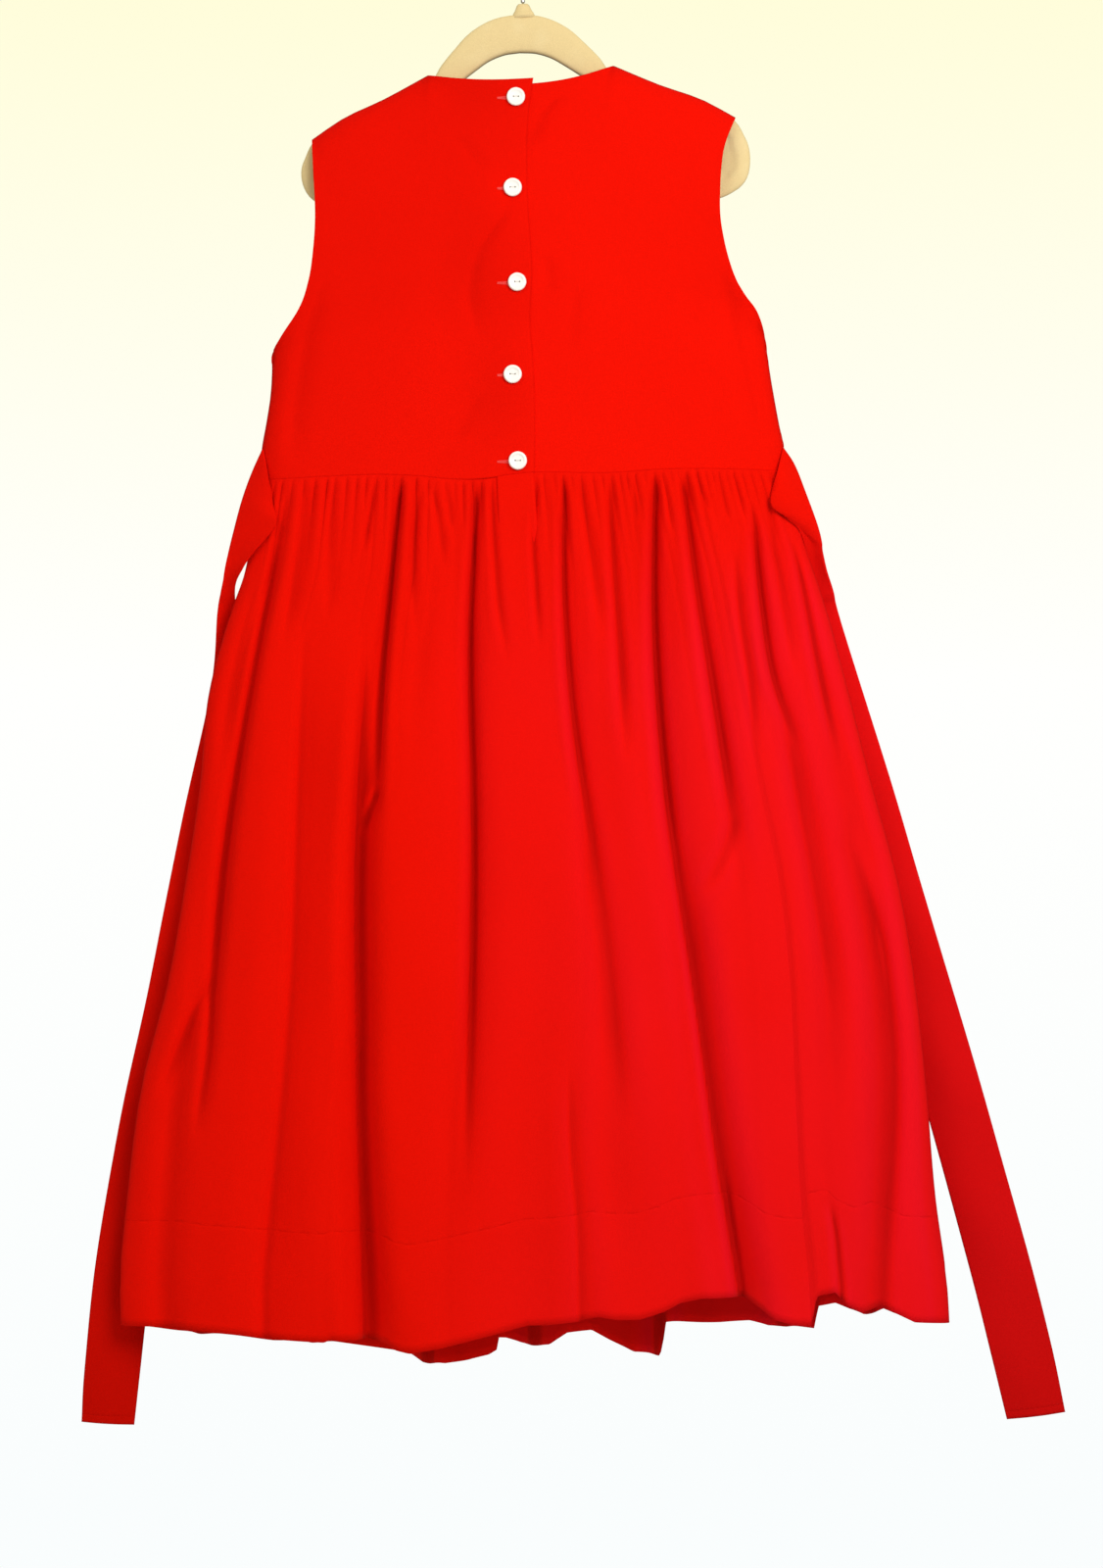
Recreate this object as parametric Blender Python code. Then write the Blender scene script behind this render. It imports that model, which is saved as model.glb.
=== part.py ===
"""A child's sleeveless smocked dress on a closed-loop hanger, seen from its buttoned back.

Units are metres and +Z is up. The origin is the underside of the hanger hook's crest, where a rail holds it.
The dress's back faces -Y and its smocked front faces +Y. Every cloth piece is one wall of even thickness.
"""

import math
from collections import namedtuple

import bmesh
import bpy
import numpy as np

# Cloth and seams
WALL = 0.0012
SEAM_GAP = 0.0003
SIDE_ROUND = 0.0045
SHOULDER_ROUND = 0.0050
SIDE_SLOPE = 0.36
CLOSE_POWER = 3.0

# Hanger, in its own upright frame
HANGER_TILT = math.radians(3.0)
HANGER_SHIFT = -0.0072
RIGHT_END_DROP = 0.0055
HANGER_THICK = 0.0060
BAND_POWER = 0.7
SECTION_CORNERS = 8
HANGER_CLEAR = 0.0013
ARM_BAND = 0.0114
ARM_STOP = 0.003
ARM_STEP = 0.001
HOOK_WIRE = 0.0026
HOOK_RADIUS = 0.0205
HOOK_ANGLES = (-58.0, 205.0)
HOOK_STATIONS = 17
HOOK_BEND = 0.0060
STEM_TOP_X = 0.0010
NECK_FOOT_Z = -0.0617
NECK_TOP_Z = -0.0552
NECK_X = 0.0036
NECK_FOOT_RADIUS = 0.0064
NECK_TOP_RADIUS = 0.0036

# Bodice
BODICE_DEPTH = 0.0150
UNDERARM_SHARE = 0.40
EVEN_ROWS_TO = 0.93
BACK_ROW_STEP = 0.075
FRONT_ROW_STEP = 0.060
CROWDED_ROWS_SHARE = 0.04
NECK_CORNER_SHARES = (0.0, 0.006, 0.020)
LAP_EDGE_X = 0.0065
UNDERLAP_X = -0.0185
LAP_RAMP = 0.030
LAP_RAMP_END = 0.004
LAP_GAP = 0.0005
BACK_NECK_DROP = 0.0072
NECK_POWER = 2.4
LAP_NECK_STEP = 0.0033
FRONT_NECK_DROP = 0.0400
FRONT_ARMHOLE_CUT = 0.0035

# Smocking on the bodice front
SMOCK_PITCH_X = 0.0320
SMOCK_PITCH_Z = 0.0560
SMOCK_RELIEF = 0.0011
SMOCK_FADE = 0.012
SMOCK_COLUMNS = 13
SMOCK_HALF_WIDTH = 0.1050
SMOCK_TOP_Z = -0.1550
SMOCK_LOW_Z = -0.3400

# Skirt
WAIST_Z = -0.3535
HEM_Z = -0.8750
SKIRT_DEPTH_BACK = 0.0440
SKIRT_DEPTH_FRONT = 0.0400
SWELL_POWER = 0.8
LEAST_DEPTH = 0.004
GATHERS_BACK = 36
GATHERS_FRONT = 24
COLUMNS_PER_GATHER = 4
GATHER_DEPTH = 0.0013
GATHER_SWELL = 0.0012
GATHER_SWELL_BELOW = 0.05
GATHER_WAVES = (29.0, 53.0, 17.0)
GATHER_WANDER = ((0.0050, 3), (0.0022, 8))
EDGE_PHASES = (0.0, 0.0012, 0.0036)
BACK_DROPS = np.array([0.0, 0.012, 0.045, 0.10, 0.18, 0.30, 0.45, 0.62, 0.80, 1.0])
FRONT_DROPS = np.array([0.0, 0.014, 0.06, 0.16, 0.34, 0.56, 0.78, 1.0])
GATHER_REACH = 0.110
FOLD_GROWTH = 0.22
FOLD_FADE = 0.12
PLACKET_FROM = 0.447
PLACKET_TO = 0.527
PLACKET_LENGTH = 0.0920
PLACKET_EDGE = 0.006
PLACKET_GAP = 0.0005

# Buttons
BUTTON_RADIUS = 0.0058
BUTTON_THICK = 0.0028
BUTTON_SEGMENTS = 16

# Sashes
SASH_WALL = 0.0016

# Surface colours
RED = (0.80, 0.010, 0.006, 1.0)
PEARL = (0.90, 0.88, 0.84, 1.0)
BEIGE = (0.76, 0.60, 0.36, 1.0)
STEEL = (0.55, 0.55, 0.57, 1.0)

BACK = -1.0
FRONT = 1.0

# Side seams and armholes, from the waist up to the shoulder tips
Side = namedtuple("Side", "share left_x left_z right_x right_z")
BODICE_SIDES = (
    Side(0.00, -0.1650, -0.3554, 0.1630, -0.3498),
    Side(0.08, -0.1650, -0.3381, 0.1635, -0.3356),
    Side(0.18, -0.1617, -0.3178, 0.1604, -0.3208),
    Side(0.27, -0.1592, -0.3011, 0.1573, -0.3042),
    Side(0.34, -0.1583, -0.2869, 0.1542, -0.2857),
    Side(0.40, -0.1580, -0.2746, 0.1512, -0.2635),
    Side(0.45, -0.1524, -0.2653, 0.1468, -0.2511),
    Side(0.52, -0.1419, -0.2499, 0.1388, -0.2400),
    Side(0.62, -0.1351, -0.2314, 0.1314, -0.2264),
    Side(0.72, -0.1320, -0.2110, 0.1253, -0.2048),
    Side(0.82, -0.1308, -0.1882, 0.1228, -0.1820),
    Side(0.91, -0.1320, -0.1635, 0.1250, -0.1500),
)

# The shoulder ridge from neck to tip, in the hanger's own frame
Ridge = namedtuple("Ridge", "x z")
SHOULDER = (
    Ridge(0.0587, -0.0975),
    Ridge(0.0865, -0.1108),
    Ridge(0.1147, -0.1225),
    Ridge(0.1334, -0.1340),
)

# Half of the hanger's band, from the arch's middle to the lower bar's middle, in its own frame
Band = namedtuple("Band", "x z height")
HANGER_ARCH = (
    Band(0.0000, -0.0737, 0.0244),
    Band(0.0120, -0.0752, 0.0238),
    Band(0.0240, -0.0803, 0.0220),
    Band(0.0345, -0.0885, 0.0192),
    Band(0.0435, -0.0965, 0.0165),
    Band(0.0510, -0.1036, 0.0130),
)
HANGER_END = (
    Band(0.1310, -0.1480, 0.0174),
    Band(0.1316, -0.1566, 0.0198),
    Band(0.1297, -0.1634, 0.0190),
    Band(0.1236, -0.1692, 0.0156),
    Band(0.1000, -0.1750, 0.0100),
    Band(0.0500, -0.1760, 0.0098),
    Band(0.0000, -0.1760, 0.0098),
)

# The skirt's two side seams
SkirtSide = namedtuple("SkirtSide", "z left_x right_x")
SKIRT_SIDES = (
    SkirtSide(-0.3530, -0.1650, 0.1630),
    SkirtSide(-0.3950, -0.1720, 0.1760),
    SkirtSide(-0.4140, -0.1757, 0.1827),
    SkirtSide(-0.4350, -0.1832, 0.1895),
    SkirtSide(-0.4890, -0.1981, 0.2040),
    SkirtSide(-0.5460, -0.2036, 0.2184),
    SkirtSide(-0.6080, -0.2129, 0.2352),
    SkirtSide(-0.6740, -0.2246, 0.2462),
    SkirtSide(-0.7310, -0.2394, 0.2524),
    SkirtSide(-0.8090, -0.2499, 0.2591),
    SkirtSide(-0.8600, -0.2542, 0.2660),
    SkirtSide(-0.8900, -0.2535, 0.2678),
)

# The two hems: heights at shares of the width from the left side seam
Hem = namedtuple("Hem", "share z")
HEM_BACK = (
    Hem(0.000, -0.8865),
    Hem(0.025, -0.8858),
    Hem(0.073, -0.8854),
    Hem(0.103, -0.8869),
    Hem(0.147, -0.8881),
    Hem(0.200, -0.8916),
    Hem(0.250, -0.8922),
    Hem(0.256, -0.8902),
    Hem(0.296, -0.8916),
    Hem(0.322, -0.8940),
    Hem(0.335, -0.8976),
    Hem(0.351, -0.8991),
    Hem(0.387, -0.8955),
    Hem(0.451, -0.8871),
    Hem(0.491, -0.8815),
    Hem(0.517, -0.8812),
    Hem(0.553, -0.8786),
    Hem(0.575, -0.8758),
    Hem(0.596, -0.8776),
    Hem(0.625, -0.8776),
    Hem(0.654, -0.8727),
    Hem(0.673, -0.8673),
    Hem(0.699, -0.8645),
    Hem(0.735, -0.8645),
    Hem(0.752, -0.8661),
    Hem(0.771, -0.8727),
    Hem(0.785, -0.8786),
    Hem(0.807, -0.8815),
    Hem(0.830, -0.8823),
    Hem(0.836, -0.8642),
    Hem(0.859, -0.8620),
    Hem(0.873, -0.8703),
    Hem(0.892, -0.8751),
    Hem(0.903, -0.8742),
    Hem(0.915, -0.8721),
    Hem(0.937, -0.8780),
    Hem(0.956, -0.8828),
    Hem(1.000, -0.8850),
)
HEM_FRONT = (
    Hem(0.000, -0.8868),
    Hem(0.086, -0.8941),
    Hem(0.180, -0.9002),
    Hem(0.252, -0.9021),
    Hem(0.324, -0.9077),
    Hem(0.346, -0.9096),
    Hem(0.363, -0.9140),
    Hem(0.389, -0.9159),
    Hem(0.416, -0.9140),
    Hem(0.443, -0.9109),
    Hem(0.453, -0.9077),
    Hem(0.455, -0.8999),
    Hem(0.464, -0.8999),
    Hem(0.483, -0.9027),
    Hem(0.517, -0.9038),
    Hem(0.539, -0.8968),
    Hem(0.569, -0.8952),
    Hem(0.591, -0.9015),
    Hem(0.610, -0.9062),
    Hem(0.621, -0.9093),
    Hem(0.651, -0.9101),
    Hem(0.656, -0.9058),
    Hem(0.658, -0.8890),
    Hem(0.726, -0.8895),
    Hem(0.763, -0.8887),
    Hem(0.786, -0.8915),
    Hem(0.801, -0.8906),
    Hem(0.841, -0.8924),
    Hem(0.846, -0.8783),
    Hem(0.867, -0.8764),
    Hem(0.884, -0.8801),
    Hem(0.902, -0.8827),
    Hem(0.924, -0.8786),
    Hem(0.944, -0.8827),
    Hem(0.961, -0.8865),
    Hem(1.000, -0.8848),
)

# Large folds: valleys pressed into a skirt panel, as shares of its width and height, with sizes in metres
Fold = namedtuple("Fold", "waist middle hem start end depth half_width")
FOLDS_BACK = (
    Fold(0.040, 0.046, 0.060, 0.02, 1.00, 0.0100, 0.0085),
    Fold(0.120, 0.160, 0.190, 0.18, 0.95, 0.0060, 0.0170),
    Fold(0.262, 0.255, 0.230, 0.03, 0.45, 0.0090, 0.0075),
    Fold(0.235, 0.243, 0.318, 0.30, 1.00, 0.0180, 0.0140),
    Fold(0.340, 0.335, 0.360, 0.02, 0.30, 0.0050, 0.0080),
    Fold(0.410, 0.408, 0.422, 0.02, 0.85, 0.0130, 0.0120),
    Fold(0.577, 0.573, 0.560, 0.02, 0.52, 0.0090, 0.0085),
    Fold(0.630, 0.598, 0.625, 0.15, 0.95, 0.0080, 0.0130),
    Fold(0.675, 0.640, 0.640, 0.02, 0.35, 0.0050, 0.0080),
    Fold(0.756, 0.690, 0.755, 0.02, 1.00, 0.0160, 0.0130),
    Fold(0.817, 0.778, 0.740, 0.02, 0.50, 0.0090, 0.0085),
    Fold(0.900, 0.893, 0.880, 0.03, 0.75, 0.0100, 0.0095),
    Fold(0.950, 0.930, 0.925, 0.02, 0.30, 0.0050, 0.0080),
    Fold(0.975, 0.960, 0.935, 0.10, 1.00, 0.0085, 0.0110),
    Fold(0.500, 0.510, 0.500, 0.45, 1.00, 0.0070, 0.0180),
)
FOLDS_FRONT = (
    Fold(0.090, 0.080, 0.070, 0.05, 1.00, 0.0090, 0.0120),
    Fold(0.190, 0.200, 0.180, 0.05, 1.00, 0.0130, 0.0140),
    Fold(0.300, 0.290, 0.280, 0.03, 0.60, 0.0090, 0.0100),
    Fold(0.380, 0.370, 0.390, 0.10, 1.00, 0.0140, 0.0140),
    Fold(0.500, 0.510, 0.500, 0.05, 1.00, 0.0120, 0.0140),
    Fold(0.610, 0.620, 0.600, 0.05, 0.65, 0.0090, 0.0110),
    Fold(0.680, 0.700, 0.705, 0.15, 1.00, 0.0130, 0.0140),
    Fold(0.800, 0.810, 0.830, 0.05, 1.00, 0.0130, 0.0140),
    Fold(0.910, 0.920, 0.925, 0.05, 1.00, 0.0090, 0.0120),
)

# Button centres down the back, top to bottom
Spot = namedtuple("Spot", "x z")
BUTTONS = (
    Spot(-0.0050, -0.1161),
    Spot(-0.0070, -0.1728),
    Spot(-0.0042, -0.2320),
    Spot(-0.0070, -0.2897),
    Spot(-0.0038, -0.3438),
)

# Sash sections from the seam to the free end: outer edge, inner edge, and how far the middle folds to +Y
SashRow = namedtuple("SashRow", "out_x out_z out_y in_x in_z in_y fold")
SASH_LEFT = (
    SashRow(-0.1641, -0.3355, -0.0048, -0.1583, -0.3637, -0.0115, -0.0015),
    SashRow(-0.1714, -0.3512, -0.0020, -0.1570, -0.3724, -0.0130, -0.0030),
    SashRow(-0.1775, -0.3685, -0.0025, -0.1550, -0.3799, -0.0148, -0.0030),
    SashRow(-0.1831, -0.3888, -0.0012, -0.1569, -0.3866, -0.0143, -0.0010),
    SashRow(-0.1864, -0.4017, 0.0000, -0.1700, -0.4009, -0.0105, 0.0010),
    SashRow(-0.1886, -0.4115, 0.0008, -0.1772, -0.4110, -0.0058, 0.0010),
    SashRow(-0.1912, -0.4249, 0.0040, -0.1826, -0.4235, 0.0048, 0.0010),
    SashRow(-0.1938, -0.4389, 0.0080, -0.1807, -0.4467, 0.0140, 0.0010),
    SashRow(-0.1990, -0.4874, 0.0155, -0.1740, -0.4843, 0.0215, -0.0025),
    SashRow(-0.2166, -0.5676, 0.0155, -0.1832, -0.5676, 0.0215, -0.0025),
    SashRow(-0.2375, -0.6719, 0.0155, -0.2030, -0.6719, 0.0215, -0.0025),
    SashRow(-0.2567, -0.7608, 0.0155, -0.2221, -0.7651, 0.0215, -0.0025),
    SashRow(-0.2715, -0.8490, 0.0155, -0.2363, -0.8515, 0.0215, -0.0025),
    SashRow(-0.2783, -0.9162, 0.0125, -0.2437, -0.9175, 0.0180, -0.0025),
    SashRow(-0.2801, -0.9496, 0.0120, -0.2474, -0.9520, 0.0160, -0.0025),
)
SASH_RIGHT = (
    SashRow(0.1629, -0.3348, -0.0048, 0.1560, -0.3619, -0.0118, -0.0020),
    SashRow(0.1702, -0.3457, -0.0020, 0.1547, -0.3676, -0.0142, -0.0040),
    SashRow(0.1775, -0.3642, -0.0025, 0.1546, -0.3707, -0.0150, -0.0030),
    SashRow(0.1844, -0.3826, -0.0015, 0.1565, -0.3737, -0.0145, -0.0010),
    SashRow(0.1877, -0.3936, 0.0012, 0.1641, -0.3783, -0.0120, 0.0000),
    SashRow(0.1884, -0.4002, 0.0032, 0.1768, -0.3886, -0.0058, 0.0010),
    SashRow(0.1911, -0.4118, 0.0060, 0.1828, -0.4063, 0.0045, 0.0010),
    SashRow(0.1957, -0.4246, 0.0095, 0.1762, -0.4275, 0.0145, 0.0000),
    SashRow(0.2020, -0.4473, 0.0155, 0.1800, -0.4504, 0.0210, -0.0025),
    SashRow(0.2332, -0.5467, 0.0155, 0.1993, -0.5534, 0.0215, -0.0025),
    SashRow(0.2561, -0.6250, 0.0155, 0.2227, -0.6355, 0.0215, -0.0025),
    SashRow(0.2844, -0.7188, 0.0155, 0.2487, -0.7281, 0.0215, -0.0025),
    SashRow(0.3165, -0.8342, 0.0125, 0.2807, -0.8453, 0.0180, -0.0025),
    SashRow(0.3332, -0.8990, 0.0120, 0.2955, -0.9051, 0.0160, -0.0025),
    SashRow(0.3424, -0.9434, 0.0120, 0.3060, -0.9483, 0.0150, -0.0025),
)

# Soft dents in the bodice's back, each with its middle, lean, bow, half width and height, and depth
Dent = namedtuple("Dent", "x z lean bow half_width half_height depth")
DENTS = (
    Dent(-0.013, -0.135, 0.55, 0.0, 0.008, 0.020, 0.0014),
    Dent(-0.031, -0.243, 0.00, 14.0, 0.006, 0.035, 0.0012),
    Dent(-0.136, -0.300, -0.12, 0.0, 0.010, 0.060, 0.0016),
    Dent(0.140, -0.310, -0.12, 0.0, 0.010, 0.060, 0.0016),
)


# Curves through tables
def column(table, name):
    """One named column of a table, as an array."""
    return np.array([getattr(row, name) for row in table])


def smooth(places, values, at):
    """Values read at places along a smooth curve through a table's rows."""
    at = np.clip(np.asarray(at, float), places[0], places[-1])
    slopes = np.gradient(values, places)
    i = np.clip(np.searchsorted(places, at, side="right") - 1, 0, len(places) - 2)
    span = places[i + 1] - places[i]
    t = (at - places[i]) / span
    rise = (values[i + 1] - values[i]) * t * t * (3 - 2 * t)
    start = t * (1 - t) ** 2 * slopes[i]
    end = t * t * (t - 1) * slopes[i + 1]
    return values[i] + rise + span * (start + end)


def read(table, place, value, at):
    """A table's value column read smoothly at places in its place column."""
    return smooth(column(table, place), column(table, value), at)


def ramp(value, low, high):
    """0 below low, 1 above high, and an even S between."""
    t = np.clip((np.asarray(value, float) - low) / (high - low), 0.0, 1.0)
    return t * t * (3 - 2 * t)


def photo_frame(x, z):
    """A point of the hanger's own frame, as the tilted hanger hangs."""
    c, s = math.cos(HANGER_TILT), math.sin(HANGER_TILT)
    return x * c - z * s + HANGER_SHIFT, x * s + z * c


def shoulder_points(side, count=9):
    """The shoulder ridge on one side, from the tip (first) to the neck."""
    x = np.linspace(SHOULDER[-1].x, SHOULDER[0].x, count)
    return np.stack(photo_frame(side * x, read(SHOULDER, "x", "z", x)), axis=-1)


def distance(points, line):
    """How far points in the XZ plane are from a polyline."""
    best = np.full(points.shape[:-1], np.inf)
    for a, b in zip(line[:-1], line[1:]):
        along = b - a
        t = np.clip(((points - a) @ along) / (along @ along), 0.0, 1.0)
        away = points - a - t[..., None] * along
        best = np.minimum(best, np.hypot(away[..., 0], away[..., 1]))
    return best


def closing(away, radius):
    """Half the depth between two panels, at a distance from the seam that joins them."""
    return np.sqrt(2 * radius * away + (SIDE_SLOPE * away) ** 2)


def soft_least(values):
    """The least of several depths, with the corners between them rounded."""
    total = sum((v + 1e-6) ** -CLOSE_POWER for v in values)
    return total ** (-1 / CLOSE_POWER)


# Walls of cloth
def surface_normals(points, toward):
    """Unit normals of a grid of points that face toward -Y or +Y."""
    across = np.gradient(points, axis=1)
    down = np.gradient(points, axis=0)
    n = np.cross(across, down)
    n /= np.linalg.norm(n, axis=2, keepdims=True)
    middle = n[n.shape[0] // 2, n.shape[1] // 2, 1]
    return n if middle * toward > 0 else -n


def flatten_normals(normals, where, axis):
    """Take one component out of the normals at chosen points, so that two walls meet squarely there."""
    normals[where, axis] = 0.0
    normals[where] /= np.linalg.norm(normals[where], axis=1, keepdims=True)


def material(name, colour, roughness, metallic=0.0):
    made = bpy.data.materials.new(name)
    made.use_nodes = True
    shader = made.node_tree.nodes["Principled BSDF"]
    shader.inputs["Base Color"].default_value = colour
    shader.inputs["Roughness"].default_value = roughness
    shader.inputs["Metallic"].default_value = metallic
    return made


def finish(name, bm, made_of):
    """Close a bmesh into one named object with its own material."""
    bmesh.ops.recalc_face_normals(bm, faces=bm.faces)
    mesh = bpy.data.meshes.new(name)
    bm.to_mesh(mesh)
    bm.free()
    mesh.shade_smooth()
    mesh.set_sharp_from_angle(angle=math.radians(50))
    mesh.materials.append(made_of)
    made = bpy.data.objects.new(name, mesh)
    bpy.context.collection.objects.link(made)
    return made


def wall(name, outer, inner, made_of):
    """One closed wall between two grids of points."""
    bm = bmesh.new()
    rows, columns = outer.shape[:2]
    grids = [[[bm.verts.new(p) for p in row] for row in grid] for grid in (outer, inner)]
    for grid in grids:
        for i in range(rows - 1):
            for j in range(columns - 1):
                bm.faces.new((grid[i][j], grid[i][j + 1], grid[i + 1][j + 1], grid[i + 1][j]))
    top, bottom = [0] * columns, [rows - 1] * columns
    edges = (
        list(zip(top, range(columns))),
        list(zip(bottom, range(columns))),
        list(zip(range(rows), [0] * rows)),
        list(zip(range(rows), [columns - 1] * rows)),
    )
    near, far = grids
    for edge in edges:
        for (i, j), (k, m) in zip(edge[:-1], edge[1:]):
            bm.faces.new((near[i][j], near[k][m], far[k][m], far[i][j]))
    return finish(name, bm, made_of)


def sheet(name, points, normals, made_of, thick=WALL, relief=0.0):
    """A wall of even thickness about a grid of middle points, raised outward by relief."""
    half = thick / 2
    raised = np.asarray(relief)[..., None] if np.ndim(relief) else relief
    return wall(name, points + normals * (half + raised), points - normals * half, made_of)


# Bodice
def bodice_corner_tables():
    """The side curves with the shoulder tips added as their last row."""
    left, right = shoulder_points(-1)[0], shoulder_points(1)[0]
    return BODICE_SIDES + (Side(1.0, left[0], left[1], right[0], right[1]),)


def side_curve(side, share, cut_in):
    """A side seam and armhole, with the armhole cut further in by cut_in."""
    table = bodice_corner_tables()
    x = read(table, "share", side + "_x", share)
    z = read(table, "share", side + "_z", share)
    hollow = ramp(share, UNDERARM_SHARE, 0.6) * (1 - ramp(share, 0.8, 1.0))
    inward = 1.0 if side == "left" else -1.0
    return np.stack([x + inward * cut_in * hollow, z], axis=-1)


def waist_z(share):
    """Height of the waist seam at a share of the width."""
    ends = BODICE_SIDES[0]
    return ends.left_z + (ends.right_z - ends.left_z) * np.asarray(share)


def top_curve(share, drop):
    """The top edge from the left shoulder tip, along the neck, to the right shoulder tip."""
    left, right = shoulder_points(-1), shoulder_points(1)[::-1]
    span = right[-1][0] - left[0][0]
    left_share = (left[-1][0] - left[0][0]) / span
    right_share = (right[0][0] - left[0][0]) / span
    x = left[0][0] + span * share
    neck = np.clip((share - left_share) / (right_share - left_share), 0.0, 1.0)
    chord = left[-1][1] + (right[0][1] - left[-1][1]) * neck
    neck_z = chord - drop * (1 - np.abs(2 * neck - 1) ** NECK_POWER)
    z = np.where(share < left_share, np.interp(x, left[:, 0], left[:, 1]), neck_z)
    z = np.where(share > right_share, np.interp(x, right[:, 0], right[:, 1]), z)
    return np.stack([x, z], axis=-1)


def bodice_plan(shares, heights, drop, cut_in):
    """XZ places of a bodice panel's grid, blended from its four edges."""
    left = side_curve("left", heights, cut_in)[:, None, :]
    right = side_curve("right", heights, cut_in)[:, None, :]
    ends = BODICE_SIDES[0]
    low_x = ends.left_x + (ends.right_x - ends.left_x) * shares
    low = np.stack([low_x, waist_z(shares)], axis=-1)[None]
    high = top_curve(shares, drop)[None]
    tips = top_curve(np.array([0.0, 1.0]), drop)
    s, t = shares[None, :, None], heights[:, None, None]
    corners = (1 - t) * low + t * ((1 - s) * tips[0] + s * tips[1])
    return (1 - s) * left + s * right + (1 - t) * low + t * high - corners


def bodice_half_depth(plan):
    """Half the depth between the bodice's front and back at XZ places."""
    seam = np.linspace(0.0, UNDERARM_SHARE, 9)
    lines = [side_curve("left", seam, 0.0), side_curve("right", seam, 0.0)]
    depths = [closing(distance(plan, line), SIDE_ROUND) for line in lines]
    depths += [closing(distance(plan, shoulder_points(s)), SHOULDER_ROUND) for s in (-1, 1)]
    depths.append(np.full(plan.shape[:-1], BODICE_DEPTH))
    return soft_least(depths) + SEAM_GAP / 2


def bodice_creases(plan):
    """Soft dents of the hanging cloth in the bodice back."""
    pressed = np.zeros(plan.shape[:-1])
    for dent in DENTS:
        rise = plan[..., 1] - dent.z
        across = plan[..., 0] - dent.x - dent.lean * rise - dent.bow * rise**2
        pressed += dent.depth * np.exp(-((across / dent.half_width) ** 2) - (rise / dent.half_height) ** 2)
    return pressed


def bodice_sheet(name, shares, heights, toward, drop, cut_in, lift, relief, made_of):
    """One bodice panel, given its grid, neck drop, armhole cut, lift off the base form and relief."""
    plan = bodice_plan(shares, heights, drop, cut_in)
    rows, columns = np.meshgrid(heights, shares, indexing="ij")
    neck_from, neck_to = neck_shares()
    on_side = ((columns == 0.0) | (columns == 1.0)) & (rows <= UNDERARM_SHARE + 1e-9)
    on_shoulder = (rows == 1.0) & ((columns <= neck_from + 1e-4) | (columns >= neck_to - 1e-4))
    depth = bodice_half_depth(plan) - (bodice_creases(plan) if toward == BACK else 0.0)
    depth[on_side | on_shoulder] = SEAM_GAP / 2
    depth = np.maximum(depth, SEAM_GAP / 2)
    points = np.stack([plan[..., 0], toward * (depth + lift(plan)), plan[..., 1]], axis=-1)
    normals = surface_normals(points, toward)
    flatten_normals(normals, on_side | on_shoulder, 1)
    flatten_normals(normals, rows == 0.0, 2)
    return sheet(name, points, normals, made_of, relief=relief(plan))


def neck_shares():
    """Shares of the top edge where the neck starts and ends."""
    left, right = shoulder_points(-1), shoulder_points(1)[::-1]
    span = right[-1][0] - left[0][0]
    return (left[-1][0] - left[0][0]) / span, (right[0][0] - left[0][0]) / span


def graded(start, end, count, power):
    """Stations that crowd toward start."""
    return start + (end - start) * (np.arange(count + 1) / count) ** power


def join(*runs):
    """Runs of stations end to end, each shared end kept once."""
    return np.concatenate([runs[0]] + [run[1:] for run in runs[1:]])


def share_of_x(x):
    """Share of the bodice's width at an x on the waist seam."""
    ends = BODICE_SIDES[0]
    return (x - ends.left_x) / (ends.right_x - ends.left_x)


def row_heights(step, crowded):
    """Shares of a bodice's height, evenly spaced and then crowded near the shoulder seams."""
    even = np.arange(0.0, EVEN_ROWS_TO, step)
    even[np.abs(even - UNDERARM_SHARE).argmin()] = UNDERARM_SHARE
    return np.append(even, 1.0 - graded(0.0, CROWDED_ROWS_SHARE, crowded, 2.0)[::-1])


def no_lift(plan):
    return np.zeros(plan.shape[:-1])


def lap_lift(plan):
    """How far the upper lap stands off the base form, to lie on the lower one."""
    return (WALL + LAP_GAP) * ramp(plan[..., 0], UNDERLAP_X - LAP_RAMP, UNDERLAP_X - LAP_RAMP_END)


def smocking(plan):
    """Relief of the puffs between the smocking's crossing rows."""
    x, z = plan[..., 0], plan[..., 1]
    puffs = np.cos(2 * math.pi * x / SMOCK_PITCH_X) * np.cos(2 * math.pi * z / SMOCK_PITCH_Z)
    across = ramp(-np.abs(x), -SMOCK_HALF_WIDTH, SMOCK_FADE - SMOCK_HALF_WIDTH)
    down = ramp(z, SMOCK_LOW_Z, SMOCK_LOW_Z + SMOCK_FADE) * ramp(-z, -SMOCK_TOP_Z, SMOCK_FADE - SMOCK_TOP_Z)
    return SMOCK_RELIEF * (1 + puffs) * across * down


def build_bodice(red):
    neck_from, neck_to = neck_shares()
    lap = share_of_x(LAP_EDGE_X)
    under = share_of_x(UNDERLAP_X)
    shared = np.linspace(under, lap, 4)
    rows = row_heights(BACK_ROW_STEP, 3)
    left = join(graded(0.0, neck_from, 6, 1.8), graded(neck_from, under, 4, 2.0), shared)
    bodice_sheet("bodice_back_left", left, rows, BACK, BACK_NECK_DROP, 0.0, lap_lift, no_lift, red)
    right = join(
        shared,
        graded(neck_to, lap, 5, 2.0)[::-1],
        1.0 - graded(0.0, 1.0 - neck_to, 6, 1.8)[::-1],
    )
    right_drop = BACK_NECK_DROP + LAP_NECK_STEP
    bodice_sheet("bodice_back_right", right, rows, BACK, right_drop, 0.0, no_lift, no_lift, red)
    build_smocked_front(red, neck_from, neck_to)


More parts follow.
